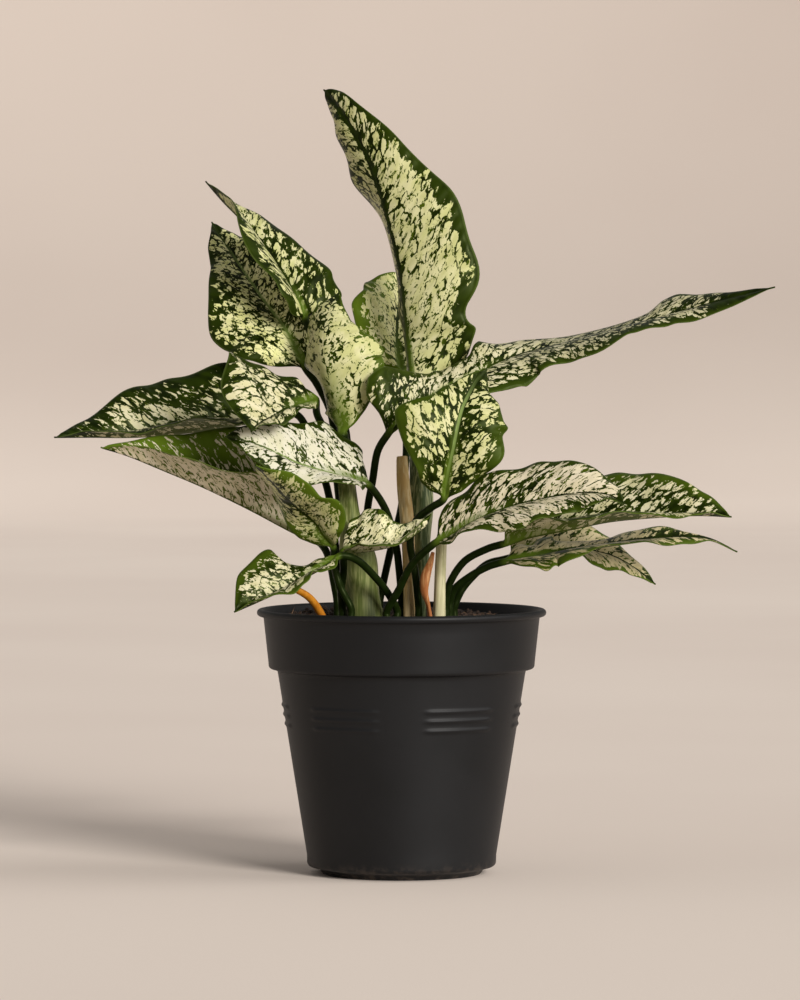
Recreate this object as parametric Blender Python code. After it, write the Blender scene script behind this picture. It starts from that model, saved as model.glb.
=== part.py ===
"""A spotted evergreen house plant in a 12 cm plastic nursery pot.

The origin is the middle of the pot's foot, on the surface it stands on, with +Z up.
Most leaves rise from the soil on their own stalks round two green stems.
A leaf is one skin: a round stalk that opens into a thin blade of two halves.
"""

import math

import bmesh
import bpy
import numpy as np
from mathutils import Vector, noise

MM = 0.001

# The pot, from its foot to the rim.
POT_RIM_RADIUS = 60.0 * MM
POT_HEIGHT = 109.8 * MM
POT_WALL = 1.2 * MM
POT_SIDES = 54
BEAD_RADIUS = 1.5 * MM
COLLAR_RADIUS = 57.3 * MM
COLLAR_FOOT_RADIUS = 55.2 * MM
COLLAR_FOOT_HEIGHT = 87.4 * MM
BODY_TOP_RADIUS = 51.5 * MM
BODY_TOP_HEIGHT = 84.4 * MM
BODY_FOOT_RADIUS = 39.1 * MM
BODY_FOOT_HEIGHT = 6.5 * MM
FOOT_RADIUS = 32.9 * MM
BASE_RISE = 1.2 * MM
BASE_THICKNESS = 1.6 * MM
BASE_PAD_RADIUS = 9.0 * MM
DRAIN_HOLES = 6
DRAIN_HOLE_RADIUS = 4.0 * MM
DRAIN_HOLE_REACH = 20.0 * MM
GRIP_HEIGHTS = (70.1 * MM, 66.2 * MM, 62.2 * MM)
GRIP_PROUD = 0.65 * MM
GRIP_GROUPS = 6
GRIP_SPAN = math.radians(38)

# The soil plug and the holes that the stalks stand in.
SOIL_TOP = 103.6 * MM
SOIL_HEAP = 1.4 * MM
SOIL_CLEARANCE = 0.35 * MM
SOIL_SIDES = 30
STALK_FOOT = 92.0 * MM
HOLE_CLEARANCE = 0.4 * MM
SEAT_GAP = 0.3 * MM

# Leaf skins.
BLADE_THICKNESS = 0.8 * MM
STALK_RADIUS = 1.55 * MM
TIP_RADIUS = 0.45 * MM
RIPPLE = 1.7 * MM
SCALLOP = 0.05
STALK_STEPS_PER_POINT = 1.6
BLADE_STEPS = 15
HALF_STEPS = 2

DARK_GREEN = (0.030, 0.060, 0.012)
MIXED_GREEN = (0.200, 0.250, 0.090)
PALE_GREEN = (0.480, 0.500, 0.230)
CREAM_WHITE = (0.700, 0.680, 0.520)

# A leaf's "stalk" is a list of points (across, deep, up) in millimetres, from the soil up.
# Its "rib" rows hold a point of the midrib and where both margins lie from there:
# (across, deep, up), (beside the rib as seen from the front, towards the front) twice.
# The first margin belongs to the half whose upper face shows from the front.
LEAVES = {
    "leaf_top": dict(
        colour=MIXED_GREEN,
        turn=1,
        waves=4.0,
        stalk=[(5.5, 8.5, 176), (4.5, 14, 190)],
        rib=[
            ((4, 20.5, 202.5), (0, 0), (0, 0)),
            ((3.6, 21.3, 206.5), (13, 0), (0, -5)),
            ((3.1, 22.8, 211.5), (23, -1), (1, -11)),
            ((2, 26, 222), (29, 2), (1.5, -17)),
            ((1, 26, 232), (27, 7), (1.5, -22)),
            ((-1, 30, 250), (32, 5), (2.5, -25)),
            ((-7, 36, 275), (30, 4), (0, -22)),
            ((-14, 42, 297), (15, 4), (-8.5, -14)),
            ((-24, 50, 315), (8.5, 2), (-7.5, -7)),
            ((-30, 58.5, 323.5), (4.2, 1.5), (-2.5, -4)),
            ((-33, 62, 327), (0, 0), (0, 0)),
        ],
    ),
    "leaf_behind": dict(
        colour=PALE_GREEN,
        turn=1,
        waves=3.0,
        stalk=[(-9, 9.5, 113), (-4, 13, 136), (0, 20, 152), (2, 30, 175), (1, 38, 196)],
        rib=[
            ((0, 43, 206), (0, 0), (0, 0)),
            ((-1, 48, 212), (7, -5), (-10, 5)),
            ((-2, 54, 219), (11, -8), (-15, 8)),
            ((-2, 62, 228), (15, -9), (-18, 10)),
            ((-1, 71, 237), (14, -8), (-16, 8)),
            ((0, 79, 244), (9, -5), (-9, 4)),
            ((1, 85, 249), (0, 0), (0, 0)),
        ],
    ),
    "leaf_pale": dict(
        colour=PALE_GREEN,
        turn=1,
        waves=3.0,
        stalk_radius=2.6,
        stalk=[(-24.2, -6.1, 179.6)],
        rib=[
            ((-24.6, -6.4, 182), (0, 0), (0, 0)),
            ((-25.5, -7, 188), (9, 0), (-3.5, -5)),
            ((-27, -8, 194), (16, -1), (-3, -12.5)),
            ((-31, -8, 209), (25, -3), (-6, -19)),
            ((-32, -6, 218), (23, -2), (-7, -19)),
            ((-32, -3, 226), (16, -1), (-7, -15)),
            ((-30, 4, 234), (9, 1), (-5, -8)),
            ((-26, 14, 241), (0, 0), (0, 0)),
        ],
    ),
    "leaf_broad": dict(
        colour=MIXED_GREEN,
        turn=1,
        waves=3.0,
        stalk=[(-20, 15, 113), (-24, 18, 138), (-27, 22, 162), (-29, 22, 188), (-35, 20, 202)],
        rib=[
            ((-40, 20, 209), (0, 0), (0, 0)),
            ((-44, 22, 217), (9, -3), (-16, 6)),
            ((-49, 26, 226), (17, -6), (-26, 10)),
            ((-59, 38, 239), (20, -4), (-22, 10)),
            ((-69, 54, 253), (14, -3), (-11, 8)),
            ((-76, 65, 263), (7, -2), (-5, 4)),
            ((-81, 74, 271), (0, 0), (0, 0)),
        ],
    ),
    "leaf_pointed": dict(
        colour=PALE_GREEN,
        turn=1,
        waves=2.0,
        stalk=[
            (-10, 16, 112),
            (-17, 22, 137),
            (-21, 24, 162),
            (-24, 18, 187),
            (-32, 16, 208),
            (-36, 16, 219),
        ],
        rib=[
            ((-40, 18, 229), (0, 0), (0, 0)),
            ((-41.3, 18.4, 232.5), (16, -5), (-3, 7)),
            ((-43.5, 19.2, 238), (18.5, -7), (-5, 12)),
            ((-47, 21, 244), (16.5, -8), (-5.5, 15)),
            ((-56, 28, 258), (11, -11), (-4.5, 16)),
            ((-66, 38, 270), (8, -8), (1.5, 10)),
            ((-75, 48, 279), (4, -4), (1.7, 4.5)),
            ((-83, 58, 288), (0, 0), (0, 0)),
        ],
    ),
    "leaf_draped": dict(
        colour=PALE_GREEN,
        turn=1,
        waves=2.0,
        stalk=[(-21, 10.5, 113), (-22, 10, 138), (-24, 9, 163), (-30, 8, 180), (-35, 5, 190)],
        rib=[
            ((-35.5, -3, 196.5), (0, 0), (0, 0)),
            ((-38, -10, 196), (10, -3), (-3, 3)),
            ((-43.5, -18, 194.5), (15.5, -4), (-3.5, 4)),
            ((-49, -26, 192.3), (22.5, -4), (-4, 5)),
            ((-54, -34, 189.5), (32, -2), (-4, 5)),
            ((-58, -42, 187.3), (23, -2), (-3, 3)),
            ((-61, -51, 184.5), (0, 0), (0, 0)),
        ],
    ),
    "leaf_long": dict(
        colour=MIXED_GREEN,
        turn=-1,
        waves=5.0,
        stalk=[
            (-15, 11, 113),
            (-15, 10.5, 130),
            (-14.5, 6, 142),
            (-14, 0, 152),
            (-12, -6, 163),
            (-10, -12, 175),
        ],
        rib=[
            ((-6, -16, 182), (0, 0), (0, 0)),
            ((-3.5, -14.6, 184.7), (15, 2), (-1, 5)),
            ((-1, -13, 187), (20.5, 3), (-1.5, 7)),
            ((4, -8, 191), (22.5, 1), (-2, 10)),
            ((18, 1, 200), (10.5, -4), (-8, 13.5)),
            ((33, 6, 208), (7.5, -6), (-11.8, 12.5)),
            ((41, 11, 212), (11, -11), (-11.5, 14.5)),
            ((51, 16.5, 215.5), (7, -18), (-9.8, 17.5)),
            ((72, 18, 221), (-2, -22), (-7.5, 21)),
            ((95, 11, 227), (0.5, -19), (-4, 18)),
            ((106, 7, 230), (6, -15), (-4, 15)),
            ((117, 4, 233), (5.5, -12), (-3, 12)),
            ((134, -2, 238), (3, -6), (-4.5, 6)),
            ((154, -8, 243), (0, 0), (0, 0)),
        ],
    ),
    "leaf_heart": dict(
        colour=PALE_GREEN,
        turn=1,
        waves=3.0,
        stalk=[
            (7, -12, 112),
            (5.5, -12.5, 126),
            (3.5, -14, 138),
            (6, -18, 147),
            (12, -25, 152.5),
        ],
        rib=[
            ((17, -30, 156), (0, 0), (0, 0)),
            ((18, -32, 161), (7, 2), (-8, 2)),
            ((19, -34, 168), (13, 2), (-14, 4)),
            ((21, -35, 177), (20, 2), (-22, 5)),
            ((23, -34, 187), (20.5, 0), (-24, 3)),
            ((25, -31, 194), (18, 0), (-14, 1)),
            ((28, -27, 200), (14, -1), (-8.5, 0)),
            ((31, -22, 205), (8, -1), (-3.5, 0)),
            ((35, -16, 209), (0, 0), (0, 0)),
        ],
    ),
    "leaf_far_left": dict(
        colour=DARK_GREEN,
        turn=1,
        waves=3.0,
        stalk=[(-26, 6, 113), (-27, 8, 130), (-30, 12, 155), (-36, 16, 175), (-40, 18, 185)],
        rib=[
            ((-44, 20, 190), (0, 0), (0, 0)),
            ((-50, 22, 190), (14, -6), (0, 8)),
            ((-58, 24, 187.5), (20.5, -8), (1, 15)),
            ((-76, 22, 184.5), (26.5, -10), (3, 22)),
            ((-94, 16, 182), (22, -12), (4, 20)),
            ((-112, 9, 180.8), (18, -10), (3.5, 15)),
            ((-129, 1, 181), (7.5, -6), (2, 7)),
            ((-143.5, -6, 181), (0, 0), (0, 0)),
        ],
    ),
    "leaf_boat": dict(
        colour=MIXED_GREEN,
        turn=1,
        waves=2.0,
        stalk=[(-26.8, 0.5, 113), (-28, 1, 120), (-30, 2.5, 130)],
        rib=[
            ((-33, 4, 136), (0, 0), (0, 0)),
            ((-38, 3, 139), (12, -6), (10, 8)),
            ((-46, 0, 142.5), (22, -10), (18, 14)),
            ((-63, -4, 151.5), (29, -12), (18, 16)),
            ((-81.5, -8, 160.5), (25, -14), (12, 18)),
            ((-98, -10, 167.5), (16, -11), (8, 13)),
            ((-112.5, -12, 173.5), (7, -5), (4, 6)),
            ((-124, -12, 177), (0, 0), (0, 0)),
        ],
    ),
    "leaf_speckled": dict(
        colour=MIXED_GREEN,
        turn=1,
        waves=2.0,
        stalk=[(-21, -13, 111), (-25.5, -13.5, 120), (-28, -14, 130)],
        rib=[
            ((-28, -16, 135.5), (0, 0), (0, 0)),
            ((-32, -20, 141), (7, 6), (-7, -2)),
            ((-36, -25, 147), (11.5, 9), (-9, -6)),
            ((-45, -35, 155), (12.5, 10), (-3, -14)),
            ((-53, -46, 164), (9, 8), (-0.5, -11)),
            ((-59, -56, 171), (0, 0), (0, 0)),
        ],
    ),
    "leaf_white": dict(
        colour=CREAM_WHITE,
        turn=1,
        waves=2.0,
        stalk=[(0, 1, 113), (-1, -2, 126), (-2.5, -5, 137), (-6.5, -10, 151)],
        rib=[
            ((-13, -15, 161), (0, 0), (0, 0)),
            ((-18, -17, 163), (12, -6), (-1, 8)),
            ((-24, -20, 165), (17, -10), (-2, 11)),
            ((-34, -24, 168), (18, -12), (-5.5, 11)),
            ((-43, -27, 171), (15.5, -12), (-7, 10)),
            ((-53, -30, 176), (12, -10), (-7.5, 8)),
            ((-63, -33, 180), (7, -5), (-5.5, 5)),
            ((-72, -36, 182), (0, 0), (0, 0)),
        ],
    ),
    "leaf_low_left": dict(
        colour=PALE_GREEN,
        turn=1,
        waves=2.0,
        stalk=[(-2, -11, 110), (-6, -15, 117.5), (-11, -20, 124), (-18, -26, 131)],
        rib=[
            ((-25, -29, 133), (0, 0), (0, 0)),
            ((-31, -32, 129.5), (3, -3.5), (-2, 6)),
            ((-38, -35, 125.5), (6.5, -6), (-1.5, 9)),
            ((-43, -38, 122.5), (15.5, -7), (-1, 11)),
            ((-50, -41, 118.8), (17, -6), (-1, 11)),
            ((-60, -45, 114.3), (13.5, -3), (0, 6)),
            ((-68, -48, 111), (0, 0), (0, 0)),
        ],
    ),
    "leaf_curled": dict(
        colour=CREAM_WHITE,
        turn=-1,
        waves=2.0,
        stalk=[(-24.5, -8.5, 110), (-25, -9, 118), (-24, -11.5, 126), (-24, -16, 132.3)],
        rib=[
            ((-24.2, -20, 134.2), (0, 0), (0, 0)),
            ((-21.5, -22.3, 134.7), (13, -4), (1, 4)),
            ((-16, -24.5, 134.9), (16, -5), (1.5, 7)),
            ((-7, -28, 136.3), (15, -7), (2, 10)),
            ((1.4, -29, 139.2), (8, -8), (2, 8)),
            ((9.3, -28, 145), (5, -3), (1, 3)),
            ((12, -27, 150), (0, 0), (0, 0)),
        ],
    ),
    "leaf_low_right": dict(
        colour=CREAM_WHITE,
        turn=-1,
        waves=3.0,
        stalk=[(-6, -18, 110), (-1, -22, 119), (4, -27, 129)],
        rib=[
            ((13, -35, 138), (0, 0), (0, 0)),
            ((20, -38, 141.7), (10.5, -4), (-2, 6)),
            ((30.4, -42, 148), (12.5, -8), (-3, 11)),
            ((43, -46, 153.3), (15, -10), (-7, 14)),
            ((57, -50, 157), (14.5, -11), (-9, 13)),
            ((72, -54, 159.5), (11, -9), (-6, 10)),
            ((82.5, -57, 159), (6, -5), (-3.5, 6)),
            ((90, -60, 155.5), (0, 0), (0, 0)),
        ],
    ),
    "leaf_far_right": dict(
        colour=DARK_GREEN,
        turn=-1,
        waves=3.0,
        stalk=[(18, -6, 112), (20, -8, 121), (26, -10, 130), (35, -12, 135)],
        rib=[
            ((41, -14, 137), (0, 0), (0, 0)),
            ((47, -16, 139), (14, -8), (7, 6)),
            ((54, -18, 141), (19, -12), (8, 13)),
            ((70, -21, 144), (20, -15), (6, 18)),
            ((85, -24, 147), (19.5, -15), (3, 18)),
            ((100, -26, 148.5), (17.5, -12), (1.5, 14)),
            ((117, -28, 149.5), (13, -7), (1, 8)),
            ((126, -29, 149.5), (8, -3), (0.5, 4)),
            ((135, -30, 149), (0, 0), (0, 0)),
        ],
    ),
    "leaf_slender": dict(
        colour=MIXED_GREEN,
        turn=-1,
        waves=3.0,
        stalk=[(20, 1, 112), (22, 0, 118), (28, -1, 123), (35, -2, 127)],
        rib=[
            ((41, -3, 129), (0, 0), (0, 0)),
            ((49, -3, 130.7), (5, -8), (-2, 8)),
            ((56, -2, 132), (5, -13), (-7, 12)),
            ((62, -1, 133), (5, -14), (-5, 13)),
            ((68, 0, 133.5), (4, -15), (-1, 14)),
            ((84, 5, 135.5), (2.5, -14), (-1, 12)),
            ((102, 13, 137.5), (3, -12), (-1, 9)),
            ((117, 20, 138.5), (3, -7), (-1.5, 6)),
            ((130, 26, 137), (1, -3), (-1, 3)),
            ((141, 32, 132), (0, 0), (0, 0)),
        ],
    ),
    "leaf_lowest_right": dict(
        colour=DARK_GREEN,
        turn=-1,
        waves=2.0,
        stalk=[(22, 9, 110), (25, 9, 117), (30, 10, 123), (36, 11, 128)],
        rib=[
            ((44, 13, 130), (0, 0), (0, 0)),
            ((53, 18, 133), (8, -8), (-2, 8)),
            ((62, 22, 134), (10, -11), (-3, 10)),
            ((71, 26, 134), (9.5, -13), (-3.5, 10)),
            ((80, 30, 132.5), (8.5, -12), (-4.5, 10)),
            ((89, 33, 130), (6.5, -10), (-4.5, 8)),
            ((98, 36, 125), (4, -6), (-3.5, 5)),
            ((107, 38, 118), (0, 0), (0, 0)),
        ],
    ),
}

# Round pieces: points (across, deep, up) and the radius there, in millimetres.
STEMS = {
    "stem_left": dict(
        colour=(0.130, 0.170, 0.050),
        sides=14,
        rows=[
            ((-15, 0, 104), 7.4),
            ((-16, 0, 116), 6.9),
            ((-17.5, 0, 128), 7.7),
            ((-19, -0.3, 136), 6.6),
            ((-21, -1.5, 148), 3.9),
            ((-22.5, -3.5, 160), 3.2),
            ((-24, -6, 179.2), 2.7),
        ],
    ),
    "stem_middle": dict(
        colour=(0.160, 0.190, 0.080),
        sides=12,
        rows=[
            ((7, 4, 104), 2.9),
            ((8, 4, 125), 3.1),
            ((8.5, 4.5, 140), 3.6),
            ((8.5, 5, 152), 4.6),
            ((8, 6, 163), 4.2),
            ((6, 8, 175.6), 2.2),
        ],
    ),
    "stem_tan": dict(
        colour=(0.300, 0.190, 0.050),
        sides=12,
        rows=[
            ((3.5, -5, 104), 2.7),
            ((3.2, -5, 125), 2.6),
            ((2.5, -4.5, 145), 2.7),
            ((1, -3, 160), 2.5),
            ((0.3, -1.5, 173), 2.0),
        ],
    ),
    "stem_stub": dict(
        colour=(0.550, 0.500, 0.270),
        sides=12,
        rows=[((15.5, -13, 104), 2.5), ((16, -13, 124), 2.3), ((16.5, -13.5, 138.5), 2.1)],
    ),
    "stalk_orange": dict(
        colour=(0.520, 0.190, 0.010),
        sides=10,
        rows=[
            ((-32, -14, 104), 1.6),
            ((-34, -16.5, 110), 1.6),
            ((-38.5, -21, 116), 1.5),
            ((-46, -26, 120.5), 1.3),
        ],
    ),
    "sheath_dry": dict(
        colour=(0.420, 0.140, 0.040),
        sides=10,
        rows=[
            ((12, -18, 104), 0.9),
            ((11, -18.5, 112), 0.8),
            ((9.5, -19, 118), 1.6),
            ((10, -19, 124), 2.0),
            ((12, -18.5, 130), 1.2),
            ((13, -18, 134), 0.6),
        ],
    ),
}


def clear_scene():
    """Take out whatever the file holds."""
    for old in list(bpy.data.objects):
        bpy.data.objects.remove(old, do_unlink=True)


def plain_material(name, colour, roughness):
    """A Principled material with one colour."""
    material = bpy.data.materials.new(name)
    material.use_nodes = True
    shader = material.node_tree.nodes["Principled BSDF"]
    shader.inputs["Base Color"].default_value = (*colour, 1.0)
    shader.inputs["Roughness"].default_value = roughness
    return material


def add_object(name, bm, material, smooth_angle=50):
    """Turn a bmesh into a named object of one closed, outward-facing body."""
    bmesh.ops.recalc_face_normals(bm, faces=bm.faces[:])
    mesh = bpy.data.meshes.new(name)
    bm.to_mesh(mesh)
    bm.free()
    mesh.shade_smooth()
    mesh.set_sharp_from_angle(angle=math.radians(smooth_angle))
    mesh.materials.append(material)
    piece = bpy.data.objects.new(name, mesh)
    bpy.context.collection.objects.link(piece)
    return piece


def spline(rows, steps):
    """Values on a smooth curve through the rows, at the given row positions."""
    rows = np.asarray(rows, dtype=float)
    last = len(rows) - 1
    slopes = np.empty_like(rows)
    slopes[1:-1] = (rows[2:] - rows[:-2]) / 2
    slopes[0] = rows[1] - rows[0]
    slopes[-1] = rows[-1] - rows[-2]
    values = []
    for step in steps:
        i = min(int(step), last - 1)
        u = step - i
        rise = rows[i + 1] - rows[i]
        cubic = slopes[i] + slopes[i + 1] - 2 * rise
        square = 3 * rise - 2 * slopes[i] - slopes[i + 1]
        values.append(rows[i] + u * (slopes[i] + u * (square + u * cubic)))
    return np.array(values)


def loft(sections):
    """A closed skin through rings of equal length: one grid, rolled up and capped."""
    rings = len(sections)
    around = len(sections[0])
    bm = bmesh.new()
    column_of = bm.faces.layers.int.new("column")
    bmesh.ops.create_grid(bm, x_segments=rings - 1, y_segments=around, size=0.5)
    place = {}
    for vert in bm.verts:
        i = round((vert.co.x + 0.5) * (rings - 1))
        j = round((vert.co.y + 0.5) * around)
        place[vert] = (i, j)
    for face in bm.faces:
        face[column_of] = min(place[vert][1] for vert in face.verts)
    for vert, (i, j) in place.items():
        vert.co = sections[i][j % around]
    bmesh.ops.remove_doubles(bm, verts=bm.verts[:], dist=1e-7)
    open_edges = [edge for edge in bm.edges if edge.is_boundary]
    caps = bmesh.ops.holes_fill(bm, edges=open_edges, sides=0)["faces"]
    for cap in caps:
        cap[column_of] = -1
    return bm


def path_frames(points, turn):
    """Along a path, two directions square to it: beside it in the front view, and frontwards."""
    along = np.gradient(points, axis=0)
    along /= np.linalg.norm(along, axis=1)[:, None]
    beside = np.stack([along[:, 2], np.zeros(len(points)), -along[:, 0]], axis=1) * turn
    beside /= np.linalg.norm(beside, axis=1)[:, None]
    front = np.cross(beside, along) * turn
    return beside, front


def half_blade(offsets):
    """A half's width and the angle it is turned by, at each rib row."""
    offsets = np.array(offsets, dtype=float)
    width = np.hypot(offsets[:, 0], offsets[:, 1])
    angle = np.arctan2(offsets[:, 1], offsets[:, 0])
    angle[0] = angle[1]
    angle[-1] = angle[-2]
    return np.stack([width, np.unwrap(angle)], axis=1)


def leaf_sections(spec):
    """Rings of points, in metres: round along the stalk, then flat and opening as the blade."""
    foot = spec["stalk"][0]
    stalk = list(spec["stalk"])
    if foot[2] < 115:
        stalk = [(foot[0], foot[1], STALK_FOOT / MM), (foot[0], foot[1], 105.5)] + stalk
    rib = [row[0] for row in spec["rib"]]
    start = len(stalk)
    last = start + len(rib) - 1
    stalk_steps = list(np.linspace(0, start, 1 + round(start * STALK_STEPS_PER_POINT)))[:-1]
    blade_share = np.linspace(0, 1, BLADE_STEPS + 1)
    blade_share = blade_share - 0.045 * np.sin(2 * math.pi * blade_share)
    steps = stalk_steps + [start + share * (last - start) for share in blade_share]
    points = spline(stalk + rib, steps) * MM
    beside, front = path_frames(points, spec["turn"])
    shares = [max(0.0, (step - start) / (last - start)) for step in steps]
    rib_steps = [share * (len(rib) - 1) for share in shares]
    first = spline(half_blade([row[1] for row in spec["rib"]]), rib_steps)
    second = spline(half_blade([row[2] for row in spec["rib"]]), rib_steps)
    stalk_radius = spec.get("stalk_radius", STALK_RADIUS / MM) * MM
    sections = []
    for k, share in enumerate(shares):
        ring = leaf_ring(share, first[k], second[k], stalk_radius, spec["waves"])
        sections.append([Vector(points[k] + p * beside[k] + q * front[k]) for p, q in ring])
    return sections


def leaf_ring(share, first, second, stalk_radius, waves):
    """One ring in the plane square to the rib, from the second margin over the top and back."""
    half = BLADE_THICKNESS / 2
    across_first = np.array([math.cos(first[1]), math.sin(first[1])])
    across_second = -np.array([math.cos(second[1]), math.sin(second[1])])
    up_first = np.array([-across_first[1], across_first[0]])
    up_second = np.array([-across_second[1], across_second[0]])
    up_rib = up_first + up_second
    spread = np.linalg.norm(up_rib) / 2
    up_rib /= 2 * spread
    across_rib = np.array([up_rib[1], -up_rib[0]])
    flatness = min(1.0, max(0.0, share / 0.10), max(0.0, (1 - share) / 0.05))
    stalk_radius += (TIP_RADIUS - stalk_radius) * max(0.0, share)
    swell = math.sin(math.pi * share) ** 0.5
    wave = 2 * math.pi * waves * share
    width_first = max(first[0] * MM, 0.0005) * (1 + SCALLOP * swell * math.sin(wave + 2.2))
    width_second = max(second[0] * MM, 0.0005) * (1 + SCALLOP * swell * math.sin(wave + 5.0))
    bend_first = RIPPLE * swell * math.sin(wave + 0.6)
    bend_second = RIPPLE * swell * math.sin(wave + 3.4)
    top = []
    bottom = []
    columns = 2 * HALF_STEPS + 1
    for column in range(columns):
        u = (column - HALF_STEPS) / HALF_STEPS
        if u < 0:
            run = across_second * width_second * u
            arch = up_second * (0.10 * width_second * 4 * -u * (1 + u) + bend_second * u * u)
            middle, up, reach = run + arch, up_second, half
        elif u > 0:
            run = across_first * width_first * u
            arch = up_first * (0.10 * width_first * 4 * u * (1 - u) + bend_first * u * u)
            middle, up, reach = run + arch, up_first, half
        else:
            middle, up, reach = np.zeros(2), up_rib, half / max(spread, 0.45)
        keel = 0.0
        if u == 0:
            keel = 0.75 * stalk_radius * (1 - share) ** 1.5
        turn = math.pi * (1 - (column + 0.5) / columns)
        round_top = stalk_radius * (math.cos(turn) * across_rib + math.sin(turn) * up_rib)
        round_bottom = stalk_radius * (math.cos(turn) * across_rib - math.sin(turn) * up_rib)
        flat_top = middle + reach * up
        flat_bottom = middle - (reach + keel) * up
        top.append(round_top + (flat_top - round_top) * flatness)
        bottom.append(round_bottom + (flat_bottom - round_bottom) * flatness)
    return top + bottom[::-1]


def build_leaf(name, spec):
    """One leaf, its two faces split into triangles alike."""
    bm = loft(leaf_sections(spec))
    column_of = bm.faces.layers.int["column"]
    top_columns = 2 * HALF_STEPS
    top = [face for face in bm.faces if 0 <= face[column_of] < top_columns]
    rest = [face for face in bm.faces if face[column_of] >= top_columns]
    caps = [face for face in bm.faces if face[column_of] < 0]
    bmesh.ops.triangulate(bm, faces=top, quad_method="FIXED")
    bmesh.ops.triangulate(bm, faces=rest, quad_method="ALTERNATE")
    bmesh.ops.triangulate(bm, faces=caps)
    return add_object(name, bm, plain_material(name, spec["colour"], 0.4), smooth_angle=60)


def build_stem(name, spec):
    """A round stem, sheath or stub that stands upright in its hole."""
    rows = [(*point, radius) for point, radius in spec["rows"]]
    foot = rows[0]
    rows.insert(0, (foot[0], foot[1], STALK_FOOT / MM, foot[3]))
    steps = np.arange(0, len(rows) - 0.5, 0.5)
    values = spline(rows, steps) * MM
    points = values[:, :3]
    beside, front = path_frames(points, 1)
    sections = []
    for k, point in enumerate(points):
        ring = []
        for side in range(spec["sides"]):
            turn = 2 * math.pi * side / spec["sides"]
            spoke = math.cos(turn) * beside[k] + math.sin(turn) * front[k]
            ring.append(Vector(point + values[k, 3] * spoke))
        sections.append(ring)
    bm = loft(sections)
    bmesh.ops.triangulate(bm, faces=bm.faces[:])
    return add_object(name, bm, plain_material(name, spec["colour"], 0.55), smooth_angle=45)


def turned(profile, sides):
    """A solid turned from a profile of (radius, height) that begins and ends on the axis."""
    bm = bmesh.new()
    verts = [bm.verts.new((radius, 0, height)) for radius, height in profile]
    edges = [bm.edges.new(pair) for pair in zip(verts, verts[1:])]
    bmesh.ops.spin(
        bm,
        geom=verts + edges,
        axis=(0, 0, 1),
        cent=(0, 0, 0),
        angle=2 * math.pi,
        steps=sides,
        use_merge=True,
    )
    bmesh.ops.remove_doubles(bm, verts=bm.verts[:], dist=1e-6)
    return bm


def wall_radius(height):
    """The tapered outer wall's radius under the collar."""
    rise = (height - BODY_FOOT_HEIGHT) / (BODY_TOP_HEIGHT - BODY_FOOT_HEIGHT)
    return BODY_FOOT_RADIUS + rise * (BODY_TOP_RADIUS - BODY_FOOT_RADIUS)


def collar_radius(height):
    """The collar's outer radius, which widens a little to the rim."""
    top = POT_HEIGHT - 2 * BEAD_RADIUS
    rise = (height - COLLAR_FOOT_HEIGHT) / (top - COLLAR_FOOT_HEIGHT)
    return COLLAR_FOOT_RADIUS + rise * (COLLAR_RADIUS - COLLAR_FOOT_RADIUS)


def inner_radius(height):
    """The pot's inside radius at a height."""
    if height > COLLAR_FOOT_HEIGHT:
        return collar_radius(height) - POT_WALL
    return wall_radius(min(height, BODY_TOP_HEIGHT)) - POT_WALL


def pot_profile():
    """The pot's section from the middle of the base, round the outside, to the inside."""
    bead_height = POT_HEIGHT - BEAD_RADIUS
    bead_middle = POT_RIM_RADIUS - BEAD_RADIUS
    outside = [
        (0, 0),
        (BASE_PAD_RADIUS, 0),
        (BASE_PAD_RADIUS + 1.0 * MM, BASE_RISE),
        (FOOT_RADIUS - 3.0 * MM, BASE_RISE),
        (FOOT_RADIUS - 2.2 * MM, 0),
        (FOOT_RADIUS, 0),
        (FOOT_RADIUS + 1.8 * MM, 2.1 * MM),
        (BODY_FOOT_RADIUS - 0.7 * MM, 3.6 * MM),
        (wall_radius(BODY_FOOT_HEIGHT), BODY_FOOT_HEIGHT),
    ]
    half_pitch = (GRIP_HEIGHTS[0] - GRIP_HEIGHTS[1]) / 2
    outside.append((wall_radius(GRIP_HEIGHTS[-1] - half_pitch), GRIP_HEIGHTS[-1] - half_pitch))
    for height in reversed(GRIP_HEIGHTS):
        outside.append((wall_radius(height), height))
        outside.append((wall_radius(height + half_pitch), height + half_pitch))
    outside += [
        (BODY_TOP_RADIUS, BODY_TOP_HEIGHT),
        (COLLAR_FOOT_RADIUS - 1.4 * MM, BODY_TOP_HEIGHT + 0.7 * MM),
        (COLLAR_FOOT_RADIUS - 0.3 * MM, COLLAR_FOOT_HEIGHT - 0.8 * MM),
        (collar_radius(COLLAR_FOOT_HEIGHT + 0.6 * MM), COLLAR_FOOT_HEIGHT + 0.6 * MM),
        (collar_radius(bead_height - BEAD_RADIUS), bead_height - BEAD_RADIUS),
    ]
    bead = []
    for step in range(5):
        turn = math.radians(-60 + 52 * step)
        reach = bead_middle + BEAD_RADIUS * math.cos(turn)
        bead.append((reach, bead_height + BEAD_RADIUS * math.sin(turn)))
    floor = BASE_RISE + BASE_THICKNESS
    inside = [
        (inner_radius(bead_height - BEAD_RADIUS), bead_height - BEAD_RADIUS),
        (inner_radius(COLLAR_FOOT_HEIGHT + 0.1 * MM), COLLAR_FOOT_HEIGHT + 0.1 * MM),
        (inner_radius(BODY_TOP_HEIGHT), BODY_TOP_HEIGHT - 1.0 * MM),
        (wall_radius(BODY_FOOT_HEIGHT) - POT_WALL, BODY_FOOT_HEIGHT),
        (FOOT_RADIUS + 0.4 * MM, floor),
        (0, floor),
    ]
    return outside + bead + inside


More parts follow.
